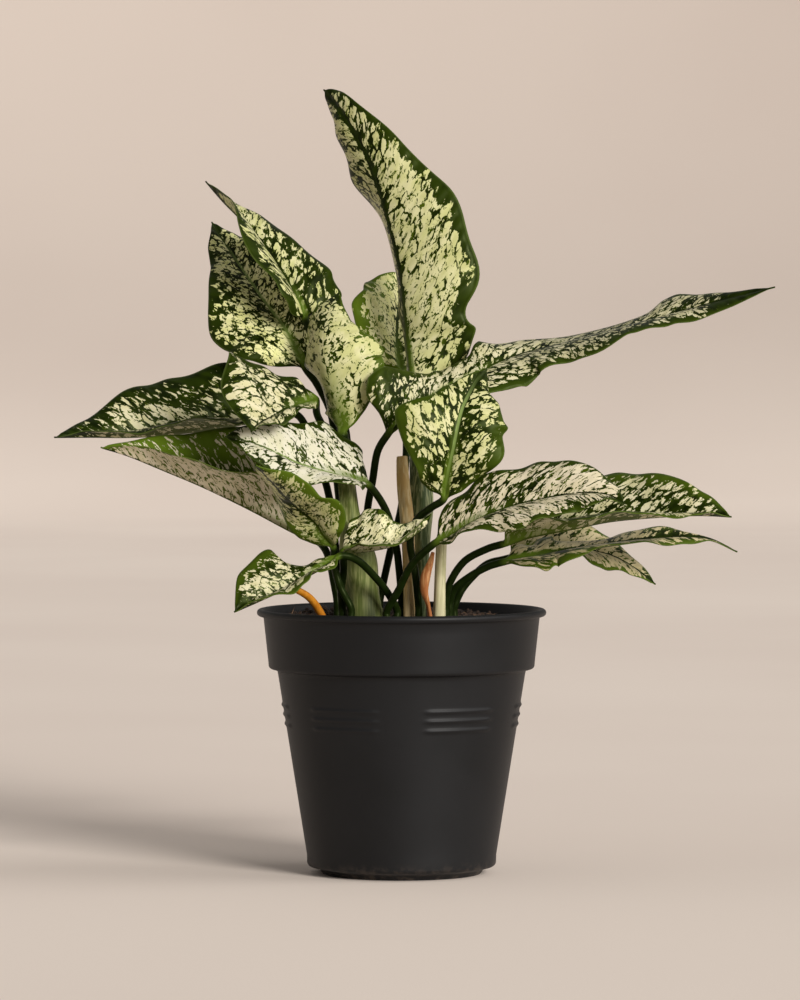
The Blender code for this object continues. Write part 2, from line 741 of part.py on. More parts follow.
def raise_grip_ribs(bm):
    """Swell the three ring lines of the wall in six groups round the pot."""
    for vert in bm.verts:
        reach = math.hypot(vert.co.x, vert.co.y)
        height = vert.co.z
        if not any(abs(height - grip) < 0.1 * MM for grip in GRIP_HEIGHTS):
            continue
        if abs(reach - wall_radius(height)) > 0.1 * MM:
            continue
        turn = math.atan2(vert.co.x, -vert.co.y)
        pitch = 2 * math.pi / GRIP_GROUPS
        from_middle = abs((turn % pitch) - pitch / 2)
        if from_middle > GRIP_SPAN / 2 + 0.01:
            continue
        scale = (reach + GRIP_PROUD) / reach
        vert.co.x *= scale
        vert.co.y *= scale


def cut(piece, cutters):
    """Take the cutters out of a piece and drop them."""
    for cutter in cutters:
        cutter.hide_render = True
        cutter.display_type = "WIRE"
    holder = bpy.data.collections.new(piece.name + "_cutters")
    bpy.context.scene.collection.children.link(holder)
    for cutter in cutters:
        bpy.context.collection.objects.unlink(cutter)
        holder.objects.link(cutter)
    modifier = piece.modifiers.new("holes", "BOOLEAN")
    modifier.operation = "DIFFERENCE"
    modifier.operand_type = "COLLECTION"
    modifier.collection = holder
    bpy.context.view_layer.objects.active = piece
    bpy.ops.object.modifier_apply(modifier=modifier.name)
    for cutter in cutters:
        bpy.data.objects.remove(cutter, do_unlink=True)
    bpy.data.collections.remove(holder)


def post(name, x, y, radius, low, high, sides, material):
    """An upright prism used as a cutter."""
    bm = bmesh.new()
    bmesh.ops.create_cone(
        bm,
        cap_ends=True,
        segments=sides,
        radius1=radius,
        radius2=radius,
        depth=high - low,
    )
    bmesh.ops.translate(bm, verts=bm.verts[:], vec=(x, y, (low + high) / 2))
    return add_object(name, bm, material)


def build_pot():
    """The nursery pot, with grip ribs and drain holes."""
    plastic = plain_material("pot_plastic", (0.022, 0.021, 0.022), 0.5)
    bm = turned(pot_profile(), POT_SIDES)
    raise_grip_ribs(bm)
    pot = add_object("pot", bm, plastic, smooth_angle=35)
    drains = []
    for k in range(DRAIN_HOLES):
        turn = 2 * math.pi * (k + 0.5) / DRAIN_HOLES
        x = DRAIN_HOLE_REACH * math.cos(turn)
        y = DRAIN_HOLE_REACH * math.sin(turn)
        drain = post(f"drain_{k}", x, y, DRAIN_HOLE_RADIUS, -MM, 8 * MM, 12, plastic)
        drains.append(drain)
    cut(pot, drains)
    return pot


def soil_height(x, y):
    """The heaped, crumbly top of the soil."""
    reach = math.hypot(x, y) / POT_RIM_RADIUS
    heap = SOIL_HEAP * (1 - reach * reach)
    crumb = noise.noise(Vector((x, y, 0.0)) / (9 * MM)) * 0.9 * MM
    return SOIL_TOP + heap + crumb


def build_soil(feet):
    """A plug of soil with a plain upright hole for each stalk and stem."""
    earth = plain_material("soil", (0.035, 0.020, 0.012), 0.95)
    low = BASE_RISE + BASE_THICKNESS + SOIL_CLEARANCE
    top = SOIL_TOP
    profile = [
        (0, low),
        (FOOT_RADIUS - 0.2 * MM, low),
        (inner_radius(BODY_FOOT_HEIGHT) - SOIL_CLEARANCE, BODY_FOOT_HEIGHT + 0.5 * MM),
        (inner_radius(BODY_TOP_HEIGHT) - SOIL_CLEARANCE, BODY_TOP_HEIGHT - 0.6 * MM),
        (inner_radius(COLLAR_FOOT_HEIGHT + MM) - SOIL_CLEARANCE, COLLAR_FOOT_HEIGHT + 0.9 * MM),
        (inner_radius(top) - SOIL_CLEARANCE, top - 1.2 * MM),
    ]
    for share in (0.86, 0.66, 0.44, 0.22):
        profile.append((inner_radius(top) * share, top))
    profile.append((0, top))
    bm = turned(profile, SOIL_SIDES)
    for vert in bm.verts:
        if vert.co.z > top - 0.1 * MM:
            vert.co.z = soil_height(vert.co.x, vert.co.y)
    soil = add_object("soil", bm, earth, smooth_angle=180)
    holes = []
    for k, (x, y, radius, sides) in enumerate(feet):
        wide = radius + HOLE_CLEARANCE
        holes.append(
            post(f"hole_{k}", x, y, wide, STALK_FOOT - SEAT_GAP, 0.12, sides, earth)
        )
    cut(soil, holes)
    return soil


def stalk_feet():
    """Where each stalk and stem stands, with its radius there."""
    feet = []
    for spec in LEAVES.values():
        x, y, z = spec["stalk"][0]
        if z < 115:
            feet.append((x * MM, y * MM, STALK_RADIUS, 10))
    for spec in STEMS.values():
        (x, y, _), radius = spec["rows"][0]
        feet.append((x * MM, y * MM, radius * MM, 14))
    return feet


def main():
    clear_scene()
    build_pot()
    build_soil(stalk_feet())
    for name, spec in STEMS.items():
        build_stem(name, spec)
    for name, spec in LEAVES.items():
        build_leaf(name, spec)


main()
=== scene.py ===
# %% [markdown]
# # A spotted aglaonema in its nursery pot
#
# The measured solids of the plant and its pot come first, as a fixed frame. Each leaf,
# stem and the pot is then made again with a finer surface of the same form, and gets a
# finish built from nodes. Everything is in metres, with +Z up and the viewer at -Y.

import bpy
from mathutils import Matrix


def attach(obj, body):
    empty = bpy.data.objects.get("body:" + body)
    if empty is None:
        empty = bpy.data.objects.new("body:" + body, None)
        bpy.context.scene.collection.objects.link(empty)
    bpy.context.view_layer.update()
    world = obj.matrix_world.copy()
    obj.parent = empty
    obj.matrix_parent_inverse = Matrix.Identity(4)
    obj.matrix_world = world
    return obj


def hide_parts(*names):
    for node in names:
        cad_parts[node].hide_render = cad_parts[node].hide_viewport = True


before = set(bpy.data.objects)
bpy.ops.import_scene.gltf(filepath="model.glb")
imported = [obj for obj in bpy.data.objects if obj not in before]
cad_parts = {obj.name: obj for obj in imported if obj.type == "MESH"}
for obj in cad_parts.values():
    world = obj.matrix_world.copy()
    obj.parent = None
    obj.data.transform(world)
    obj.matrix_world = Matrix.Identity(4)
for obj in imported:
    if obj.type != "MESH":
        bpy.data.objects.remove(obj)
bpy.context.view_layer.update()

# %% Modules and the millimetre
import math
import random

import bmesh
import bpy
import numpy as np
from mathutils import Matrix, Vector, noise

MM = 0.001
scene = bpy.context.scene

# %% [markdown]
# ## The view
#
# A long lens from 2.3 m away, a little above the pot and tipped down by two degrees,
# gives the flat look of a catalogue picture. The sensor fits the height of the frame,
# so the view doesn't depend on the width of the render.

# %% Camera
CAMERA_PLACE = (-0.00066, -2.290, 0.233)
CAMERA_TIP = math.radians(90 - 1.954)
FOCAL_MM = 199.08
SENSOR_MM = 36
lens = bpy.data.cameras.new("long_lens")
lens.sensor_fit = "VERTICAL"
lens.sensor_height = lens.sensor_width = SENSOR_MM
lens.lens = FOCAL_MM
camera = bpy.data.objects.new("camera", lens)
camera.location = CAMERA_PLACE
camera.rotation_euler = (CAMERA_TIP, 0, 0)
scene.collection.objects.link(camera)
scene.camera = camera
scene.view_settings.view_transform = "Standard"
print("camera at", CAMERA_PLACE, "lens", round(lens.lens, 1), "mm")

# %% [markdown]
# ## Small helpers for meshes and nodes
#
# Every piece is drawn in a bmesh and ends as one object at the origin. Round things are
# turned from a profile, as on a lathe. The node helpers only save typing: most of them
# add one node and hand back its output.

# %% Mesh helpers
def new_object(name, bm, material, smooth_angle=None):
    """Turn a bmesh into a smooth object at the origin."""
    bmesh.ops.recalc_face_normals(bm, faces=bm.faces[:])
    mesh = bpy.data.meshes.new(name)
    bm.to_mesh(mesh)
    bm.free()
    mesh.shade_smooth()
    if smooth_angle is not None:
        mesh.set_sharp_from_angle(angle=math.radians(smooth_angle))
    mesh.materials.append(material)
    made = bpy.data.objects.new(name, mesh)
    scene.collection.objects.link(made)
    return made


def add_piece(name, bm, material, node=None, smooth_angle=None):
    """Turn a bmesh into a piece of the plant that rides with the frame."""
    piece = new_object(name, bm, material, smooth_angle)
    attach(piece, "root")
    if node:
        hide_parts(node)
    return piece


def turned_skin(profile, steps):
    """A bmesh turned round the upright axis from points (reach, height) in metres."""
    bm = bmesh.new()
    verts = [bm.verts.new((reach, 0, height)) for reach, height in profile]
    edges = [bm.edges.new(pair) for pair in zip(verts, verts[1:])]
    bmesh.ops.spin(bm, geom=verts + edges, axis=(0, 0, 1), cent=(0, 0, 0),
                   angle=2 * math.pi, steps=steps, use_merge=True)
    bmesh.ops.remove_doubles(bm, verts=bm.verts[:], dist=1e-6)
    return bm


# %% Node helpers
def fill(tree, node, values):
    """Set a node's inputs to numbers, or join them to outputs."""
    for key, value in values.items():
        if isinstance(value, bpy.types.NodeSocket):
            tree.links.new(value, node.inputs[key])
        else:
            node.inputs[key].default_value = value


def new_node(tree, kind, values=None, **settings):
    """Add a node, set its options and fill its inputs."""
    made = tree.nodes.new("ShaderNode" + kind)
    for key, value in settings.items():
        setattr(made, key, value)
    fill(tree, made, values or {})
    return made


def maths(tree, operation, *values):
    """One Math node on numbers or outputs."""
    return new_node(tree, "Math", dict(enumerate(values)), operation=operation).outputs[0]


def add_part(tree, total, value, weight, middle=0.0):
    """A total with a weighted value added. A value at its middle adds nothing."""
    if middle:
        value = maths(tree, "SUBTRACT", value, middle)
    return maths(tree, "MULTIPLY_ADD", value, weight, total)


def ramp(tree, value, low, high, to_low=0.0, to_high=1.0):
    """A smooth step between two values."""
    sockets = {0: value, 1: low, 2: high, 3: to_low, 4: to_high}
    made = new_node(tree, "MapRange", sockets, interpolation_type="SMOOTHSTEP")
    return made.outputs[0]


# %% Colour helpers
def mix_colours(tree, factor, first, second):
    """Two colours mixed by a factor. A colour may be a triple or an output."""
    first = first if isinstance(first, bpy.types.NodeSocket) else (*first, 1.0)
    second = second if isinstance(second, bpy.types.NodeSocket) else (*second, 1.0)
    return new_node(tree, "Mix", {0: factor, 6: first, 7: second}, data_type="RGBA").outputs[2]


def blend(tree, value, low, high, first, second, to_low=0.0, to_high=1.0):
    """Two colours mixed while a value climbs from low to high."""
    return mix_colours(tree, ramp(tree, value, low, high, to_low, to_high), first, second)


def noise_value(tree, place, scale, detail=2.0, rough=0.5, output="Fac"):
    """Smooth noise around 0.5."""
    sockets = {"Vector": place, "Scale": scale, "Detail": detail, "Roughness": rough}
    return new_node(tree, "TexNoise", sockets).outputs[output]


def bump(tree, strength, distance, height):
    """A normal that is tipped by a height, with the distance in metres."""
    sockets = {"Strength": strength, "Distance": distance, "Height": height}
    return new_node(tree, "Bump", sockets).outputs[0]


def object_place(tree):
    """Each point's place in its object."""
    return new_node(tree, "TexCoord").outputs["Object"]


def new_finish(name):
    """A material with its Principled shader."""
    material = bpy.data.materials.new(name)
    material.use_nodes = True
    tree = material.node_tree
    return material, tree, tree.nodes["Principled BSDF"]


print("helpers ready")

# %% [markdown]
# ## Floor and light
#
# The plant stands on pale paper that runs back and curves up far behind it. The floor is
# a turned dish, so that every view has the same paper behind the plant. A low sun with a
# wide disc stands for a large soft lamp in front and to the right, a weaker one lights
# the right side, and the pale world fills the shade.

# %% Paper floor
FLOOR_FLAT = 3.8
FLOOR_CURVE = 1.5
FLOOR_FAR = 4.7
FLAT_STEPS = 8
CURVE_STEPS = 12
PAPER = ((0.762, 0.664, 0.592), (0.799, 0.704, 0.628))
# A dark tone mixed into the far paper: painted shade on the rising curve
FAR_PAPER_PAINTED_SHADE = (0.035, 0.008, 0.0)
paper, tree, shader = new_finish("floor_paper")
place = object_place(tree)
cloudy = noise_value(tree, place, 1.3, detail=3.0)
fibres = noise_value(tree, place, 900.0)
tone = blend(tree, cloudy, 0.35, 0.65, *PAPER)
away = new_node(tree, "VectorMath", {0: place}, operation="LENGTH").outputs["Value"]
# Towards the far rim the paper is mixed with a dark tone: painted shade that evens out the lamp,
# which lights the rising curve more than the flat floor.
tone = blend(tree, away, FLOOR_FLAT, FLOOR_FAR, tone, FAR_PAPER_PAINTED_SHADE, 0.0, 0.42)
fill(tree, shader, {
    "Base Color": tone,
    "Roughness": 0.9,
    "Specular IOR Level": 0.2,
    "Normal": bump(tree, strength=0.12, distance=0.0004, height=fibres),
})

profile = [(FLOOR_FLAT * step / FLAT_STEPS, 0) for step in range(FLAT_STEPS + 1)]
for step in range(1, CURVE_STEPS + 1):
    turn = math.radians(5 * step)
    rise = FLOOR_CURVE * (1 - math.cos(turn))
    profile.append((FLOOR_FLAT + FLOOR_CURVE * math.sin(turn), rise))
floor = new_object("floor", turned_skin(profile, steps=96), paper)
print("floor faces:", len(floor.data.polygons))

# %% Lamps and fill
SKY_COLOUR = (1.0, 0.965, 0.93, 1.0)
SKY_STRENGTH = 0.31
world = bpy.data.worlds.new("fill")
world.use_nodes = True
sky = world.node_tree.nodes["Background"]
fill(world.node_tree, sky, {"Color": SKY_COLOUR, "Strength": SKY_STRENGTH})
scene.world = world


def add_sun(name, azimuth, height, strength, disc, colour):
    """A soft parallel light from a compass angle (0 = from the viewer, 90 = from the right)."""
    lamp = bpy.data.lights.new(name, "SUN")
    lamp.energy = strength
    lamp.angle = math.radians(disc)
    lamp.color = colour
    a, e = math.radians(azimuth), math.radians(height)
    towards = Vector((math.sin(a) * math.cos(e), -math.cos(a) * math.cos(e), math.sin(e)))
    holder = bpy.data.objects.new(name, lamp)
    holder.rotation_euler = towards.to_track_quat("Z", "Y").to_euler()
    scene.collection.objects.link(holder)


add_sun("window_lamp", azimuth=33, height=20, strength=3.6, disc=22, colour=(1.0, 0.97, 0.93))
add_sun("side_lamp", azimuth=84, height=30, strength=0.85, disc=40, colour=(1.0, 0.98, 0.96))
print("lamps and fill set")

# %% [markdown]
# ## The shape of a leaf
#
# An aglaonema leaf is a round stalk that opens into a thin blade of two halves, with a
# sunk midrib above and a keel below, and margins that ripple. A flat card with a picture
# of a leaf would look false from the side, so each blade is a closed skin: one grid,
# rolled round the stalk and flattened into the blade. The rows are the plant's own
# measures, in millimetres: the stalk's points (across, deep, up) from the soil up, then
# for each point of the midrib where both margins lie from there. Turn is -1 for a leaf
# that reaches to the right, and waves counts the ripples of a margin.

# %% Upper leaves
LEAVES = {
    "leaf_top": dict(turn=1, waves=4.0, stalk=[(5.5, 8.5, 176), (4.5, 14, 190)], rib=[
        ((4, 20.5, 202.5), (0, 0), (0, 0)),
        ((3.6, 21.3, 206.5), (13, 0), (0, -5)),
        ((3.1, 22.8, 211.5), (23, -1), (1, -11)),
        ((2, 26, 222), (29, 2), (1.5, -17)),
        ((1, 26, 232), (27, 7), (1.5, -22)),
        ((-1, 30, 250), (32, 5), (2.5, -25)),
        ((-7, 36, 275), (30, 4), (0, -22)),
        ((-14, 42, 297), (15, 4), (-8.5, -14)),
        ((-24, 50, 315), (8.5, 2), (-7.5, -7)),
        ((-30, 58.5, 323.5), (4.2, 1.5), (-2.5, -4)),
        ((-33, 62, 327), (0, 0), (0, 0)),
    ]),
    "leaf_behind": dict(turn=1, waves=3.0, stalk=[
        (-9, 9.5, 113), (-4, 13, 136), (0, 20, 152), (2, 30, 175), (1, 38, 196),
    ], rib=[
        ((0, 43, 206), (0, 0), (0, 0)),
        ((-1, 48, 212), (7, -5), (-10, 5)),
        ((-2, 54, 219), (11, -8), (-15, 8)),
        ((-2, 62, 228), (15, -9), (-18, 10)),
        ((-1, 71, 237), (14, -8), (-16, 8)),
        ((0, 79, 244), (9, -5), (-9, 4)),
        ((1, 85, 249), (0, 0), (0, 0)),
    ]),
    "leaf_pale": dict(turn=1, waves=3.0, stalk_radius=2.6, stalk=[(-24.2, -6.1, 179.6)], rib=[
        ((-24.6, -6.4, 182), (0, 0), (0, 0)),
        ((-25.5, -7, 188), (9, 0), (-3.5, -5)),
        ((-27, -8, 194), (16, -1), (-3, -12.5)),
        ((-31, -8, 209), (25, -3), (-6, -19)),
        ((-32, -6, 218), (23, -2), (-7, -19)),
        ((-32, -3, 226), (16, -1), (-7, -15)),
        ((-30, 4, 234), (9, 1), (-5, -8)),
        ((-26, 14, 241), (0, 0), (0, 0)),
    ]),
    "leaf_broad": dict(turn=1, waves=3.0, stalk=[
        (-20, 15, 113), (-24, 18, 138), (-27, 22, 162), (-29, 22, 188), (-35, 20, 202),
    ], rib=[
        ((-40, 20, 209), (0, 0), (0, 0)),
        ((-44, 22, 217), (9, -3), (-16, 6)),
        ((-49, 26, 226), (17, -6), (-26, 10)),
        ((-59, 38, 239), (20, -4), (-22, 10)),
        ((-69, 54, 253), (14, -3), (-11, 8)),
        ((-76, 65, 263), (7, -2), (-5, 4)),
        ((-81, 74, 271), (0, 0), (0, 0)),
    ]),
    "leaf_pointed": dict(turn=1, waves=2.0, stalk=[
        (-10, 16, 112), (-17, 22, 137), (-21, 24, 162), (-24, 18, 187), (-32, 16, 208),
        (-36, 16, 219),
    ], rib=[
        ((-40, 18, 229), (0, 0), (0, 0)),
        ((-41.3, 18.4, 232.5), (16, -5), (-3, 7)),
        ((-43.5, 19.2, 238), (18.5, -7), (-5, 12)),
        ((-47, 21, 244), (16.5, -8), (-5.5, 15)),
        ((-56, 28, 258), (11, -11), (-4.5, 16)),
        ((-66, 38, 270), (8, -8), (1.5, 10)),
        ((-75, 48, 279), (4, -4), (1.7, 4.5)),
        ((-83, 58, 288), (0, 0), (0, 0)),
    ]),
    "leaf_draped": dict(turn=1, waves=2.0, stalk=[
        (-21, 10.5, 113), (-22, 10, 138), (-24, 9, 163), (-30, 8, 180), (-35, 5, 190),
    ], rib=[
        ((-35.5, -3, 196.5), (0, 0), (0, 0)),
        ((-38, -10, 196), (10, -3), (-3, 3)),
        ((-43.5, -18, 194.5), (15.5, -4), (-3.5, 4)),
        ((-49, -26, 192.3), (22.5, -4), (-4, 5)),
        ((-54, -34, 189.5), (32, -2), (-4, 5)),
        ((-58, -42, 187.3), (23, -2), (-3, 3)),
        ((-61, -51, 184.5), (0, 0), (0, 0)),
    ]),
    "leaf_long": dict(turn=-1, waves=5.0, stalk=[
        (-15, 11, 113), (-15, 10.5, 130), (-14.5, 6, 142), (-14, 0, 152), (-12, -6, 163),
        (-10, -12, 175),
    ], rib=[
        ((-6, -16, 182), (0, 0), (0, 0)),
        ((-3.5, -14.6, 184.7), (15, 2), (-1, 5)),
        ((-1, -13, 187), (20.5, 3), (-1.5, 7)),
        ((4, -8, 191), (22.5, 1), (-2, 10)),
        ((18, 1, 200), (10.5, -4), (-8, 13.5)),
        ((33, 6, 208), (7.5, -6), (-11.8, 12.5)),
        ((41, 11, 212), (11, -11), (-11.5, 14.5)),
        ((51, 16.5, 215.5), (7, -18), (-9.8, 17.5)),
        ((72, 18, 221), (-2, -22), (-7.5, 21)),
        ((95, 11, 227), (0.5, -19), (-4, 18)),
        ((106, 7, 230), (6, -15), (-4, 15)),
        ((117, 4, 233), (5.5, -12), (-3, 12)),
        ((134, -2, 238), (3, -6), (-4.5, 6)),
        ((154, -8, 243), (0, 0), (0, 0)),
    ]),
}
print("leaves so far:", len(LEAVES))

# %% Middle leaves
LEAVES |= {
    "leaf_heart": dict(turn=1, waves=3.0, stalk=[
        (7, -12, 112), (5.5, -12.5, 126), (3.5, -14, 138), (6, -18, 147), (12, -25, 152.5),
    ], rib=[
        ((17, -30, 156), (0, 0), (0, 0)),
        ((18, -32, 161), (7, 2), (-8, 2)),
        ((19, -34, 168), (13, 2), (-14, 4)),
        ((21, -35, 177), (20, 2), (-22, 5)),
        ((23, -34, 187), (20.5, 0), (-24, 3)),
        ((25, -31, 194), (18, 0), (-14, 1)),
        ((28, -27, 200), (14, -1), (-8.5, 0)),
        ((31, -22, 205), (8, -1), (-3.5, 0)),
        ((35, -16, 209), (0, 0), (0, 0)),
    ]),
    "leaf_far_left": dict(turn=1, waves=3.0, stalk=[
        (-26, 6, 113), (-27, 8, 130), (-30, 12, 155), (-36, 16, 175), (-40, 18, 185),
    ], rib=[
        ((-44, 20, 190), (0, 0), (0, 0)),
        ((-50, 22, 190), (14, -6), (0, 8)),
        ((-58, 24, 187.5), (20.5, -8), (1, 15)),
        ((-76, 22, 184.5), (26.5, -10), (3, 22)),
        ((-94, 16, 182), (22, -12), (4, 20)),
        ((-112, 9, 180.8), (18, -10), (3.5, 15)),
        ((-129, 1, 181), (7.5, -6), (2, 7)),
        ((-143.5, -6, 181), (0, 0), (0, 0)),
    ]),
    "leaf_boat": dict(turn=1, waves=2.0, stalk=[
        (-26.8, 0.5, 113), (-28, 1, 120), (-30, 2.5, 130),
    ], rib=[
        ((-33, 4, 136), (0, 0), (0, 0)),
        ((-38, 3, 139), (12, -6), (10, 8)),
        ((-46, 0, 142.5), (22, -10), (18, 14)),
        ((-63, -4, 151.5), (29, -12), (18, 16)),
        ((-81.5, -8, 160.5), (25, -14), (12, 18)),
        ((-98, -10, 167.5), (16, -11), (8, 13)),
        ((-112.5, -12, 173.5), (7, -5), (4, 6)),
        ((-124, -12, 177), (0, 0), (0, 0)),
    ]),
    "leaf_speckled": dict(turn=1, waves=2.0, stalk=[
        (-21, -13, 111), (-25.5, -13.5, 120), (-28, -14, 130),
    ], rib=[
        ((-28, -16, 135.5), (0, 0), (0, 0)),
        ((-32, -20, 141), (7, 6), (-7, -2)),
        ((-36, -25, 147), (11.5, 9), (-9, -6)),
        ((-45, -35, 155), (12.5, 10), (-3, -14)),
        ((-53, -46, 164), (9, 8), (-0.5, -11)),
        ((-59, -56, 171), (0, 0), (0, 0)),
    ]),
    "leaf_white": dict(turn=1, waves=2.0, stalk=[
        (0, 1, 113), (-1, -2, 126), (-2.5, -5, 137), (-6.5, -10, 151),
    ], rib=[
        ((-13, -15, 161), (0, 0), (0, 0)),
        ((-18, -17, 163), (12, -6), (-1, 8)),
        ((-24, -20, 165), (17, -10), (-2, 11)),
        ((-34, -24, 168), (18, -12), (-5.5, 11)),
        ((-43, -27, 171), (15.5, -12), (-7, 10)),
        ((-53, -30, 176), (12, -10), (-7.5, 8)),
        ((-63, -33, 180), (7, -5), (-5.5, 5)),
        ((-72, -36, 182), (0, 0), (0, 0)),
    ]),
}
print("leaves so far:", len(LEAVES))

# %% Low leaves
LEAVES |= {
    "leaf_low_left": dict(turn=1, waves=2.0, stalk=[
        (-2, -11, 110), (-6, -15, 117.5), (-11, -20, 124), (-18, -26, 131),
    ], rib=[
        ((-25, -29, 133), (0, 0), (0, 0)),
        ((-31, -32, 129.5), (3, -3.5), (-2, 6)),
        ((-38, -35, 125.5), (6.5, -6), (-1.5, 9)),
        ((-43, -38, 122.5), (15.5, -7), (-1, 11)),
        ((-50, -41, 118.8), (17, -6), (-1, 11)),
        ((-60, -45, 114.3), (13.5, -3), (0, 6)),
        ((-68, -48, 111), (0, 0), (0, 0)),
    ]),
    "leaf_curled": dict(turn=-1, waves=2.0, stalk=[
        (-24.5, -8.5, 110), (-25, -9, 118), (-24, -11.5, 126), (-24, -16, 132.3),
    ], rib=[
        ((-24.2, -20, 134.2), (0, 0), (0, 0)),
        ((-21.5, -22.3, 134.7), (13, -4), (1, 4)),
        ((-16, -24.5, 134.9), (16, -5), (1.5, 7)),
        ((-7, -28, 136.3), (15, -7), (2, 10)),
        ((1.4, -29, 139.2), (8, -8), (2, 8)),
        ((9.3, -28, 145), (5, -3), (1, 3)),
        ((12, -27, 150), (0, 0), (0, 0)),
    ]),
    "leaf_low_right": dict(turn=-1, waves=3.0, stalk=[
        (-6, -18, 110), (-1, -22, 119), (4, -27, 129),
    ], rib=[
        ((13, -35, 138), (0, 0), (0, 0)),
        ((20, -38, 141.7), (10.5, -4), (-2, 6)),
        ((30.4, -42, 148), (12.5, -8), (-3, 11)),
        ((43, -46, 153.3), (15, -10), (-7, 14)),
        ((57, -50, 157), (14.5, -11), (-9, 13)),
        ((72, -54, 159.5), (11, -9), (-6, 10)),
        ((82.5, -57, 159), (6, -5), (-3.5, 6)),
        ((90, -60, 155.5), (0, 0), (0, 0)),
    ]),
    "leaf_far_right": dict(turn=-1, waves=3.0, stalk=[
        (18, -6, 112), (20, -8, 121), (26, -10, 130), (35, -12, 135),
    ], rib=[
        ((41, -14, 137), (0, 0), (0, 0)),
        ((47, -16, 139), (14, -8), (7, 6)),
        ((54, -18, 141), (19, -12), (8, 13)),
        ((70, -21, 144), (20, -15), (6, 18)),
        ((85, -24, 147), (19.5, -15), (3, 18)),
        ((100, -26, 148.5), (17.5, -12), (1.5, 14)),
        ((117, -28, 149.5), (13, -7), (1, 8)),
        ((126, -29, 149.5), (8, -3), (0.5, 4)),
        ((135, -30, 149), (0, 0), (0, 0)),
    ]),
    "leaf_slender": dict(turn=-1, waves=3.0, stalk=[
        (20, 1, 112), (22, 0, 118), (28, -1, 123), (35, -2, 127),
    ], rib=[
        ((41, -3, 129), (0, 0), (0, 0)),
        ((49, -3, 130.7), (5, -8), (-2, 8)),
        ((56, -2, 132), (5, -13), (-7, 12)),
        ((62, -1, 133), (5, -14), (-5, 13)),
        ((68, 0, 133.5), (4, -15), (-1, 14)),
        ((84, 5, 135.5), (2.5, -14), (-1, 12)),
        ((102, 13, 137.5), (3, -12), (-1, 9)),
        ((117, 20, 138.5), (3, -7), (-1.5, 6)),
        ((130, 26, 137), (1, -3), (-1, 3)),
        ((141, 32, 132), (0, 0), (0, 0)),
    ]),
    "leaf_lowest_right": dict(turn=-1, waves=2.0, stalk=[
        (22, 9, 110), (25, 9, 117), (30, 10, 123), (36, 11, 128),
    ], rib=[
        ((44, 13, 130), (0, 0), (0, 0)),
        ((53, 18, 133), (8, -8), (-2, 8)),
        ((62, 22, 134), (10, -11), (-3, 10)),
        ((71, 26, 134), (9.5, -13), (-3.5, 10)),
        ((80, 30, 132.5), (8.5, -12), (-4.5, 10)),
        ((89, 33, 130), (6.5, -10), (-4.5, 8)),
        ((98, 36, 125), (4, -6), (-3.5, 5)),
        ((107, 38, 118), (0, 0), (0, 0)),
    ]),
}
print("leaves so far:", len(LEAVES))

# %% Leaf sizes
# Heights in millimetres: where a stalk ends in the soil, up to where it stands upright
# there, and from where its first point is free of the soil
STALK_FOOT = 92.0
STALK_UPRIGHT_TO = 105.5
LOWEST_FREE_STALK = 115
STALK_RADIUS = 1.55 * MM
TIP_RADIUS = 0.35 * MM
BLADE_THICKNESS = 0.62 * MM
LEAST_WIDTH = 0.5 * MM
# Shares of the blade over which it opens from the stalk and closes at the tip
OPENING_SHARE = 0.10
CLOSING_SHARE = 0.03
# The arch of a half as a share of its width, then the groove over the midrib and its keel
ARCH = 0.10
GROOVE_DEPTH, GROOVE_REACH = 0.28 * MM, 1.0 * MM
KEEL_DEPTH, KEEL_REACH = 0.30 * MM, 1.5 * MM
# What moves the pattern from leaf to leaf, and how fine the grid is
PATTERN_STEP = 40.0
HALF_COLUMNS = 12
BLADE_ROWS = 96
STALK_ROWS_PER_POINT = 5
print("a leaf skin has", (2 * HALF_COLUMNS + 1) * 2, "points round it")


# %% Curves
def smooth_step(share):
    """A share from 0 to 1, eased at both ends."""
    return share * share * (3 - 2 * share)


def spline(rows, steps):
    """Values on a smooth curve through the rows, at the given row positions."""
    rows = np.asarray(rows, dtype=float)
    last = len(rows) - 1
    slopes = np.empty_like(rows)
    slopes[1:-1] = (rows[2:] - rows[:-2]) / 2
    slopes[0] = rows[1] - rows[0]
    slopes[-1] = rows[-1] - rows[-2]
    steps = np.asarray(steps, dtype=float)
    i = np.minimum(steps.astype(int), last - 1)
    u = (steps - i)[:, None]
    rise = rows[i + 1] - rows[i]
    cubic = slopes[i] + slopes[i + 1] - 2 * rise
    square = 3 * rise - 2 * slopes[i] - slopes[i + 1]
    return rows[i] + u * (slopes[i] + u * (square + u * cubic))


def path_frames(points, turn=1):
    """Along a path, two directions square to it: beside it in the front view, and frontwards."""
    along = np.gradient(points, axis=0)
    along /= np.linalg.norm(along, axis=1)[:, None]
    beside = np.stack([along[:, 2], np.zeros(len(points)), -along[:, 0]], axis=1) * turn
    beside /= np.linalg.norm(beside, axis=1)[:, None]
    return beside, np.cross(beside, along) * turn


# %% Along a leaf
def half_blade(offsets, steps):
    """A half's width and the angle it is turned by, along the midrib."""
    offsets = np.array(offsets, dtype=float)
    width = np.hypot(offsets[:, 0], offsets[:, 1])
    angle = np.arctan2(offsets[:, 1], offsets[:, 0])
    angle[0] = angle[1]
    angle[-1] = angle[-2]
    found = spline(np.stack([width, np.unwrap(angle)], axis=1), steps)
    return np.maximum(found[:, 0] * MM, LEAST_WIDTH), found[:, 1]


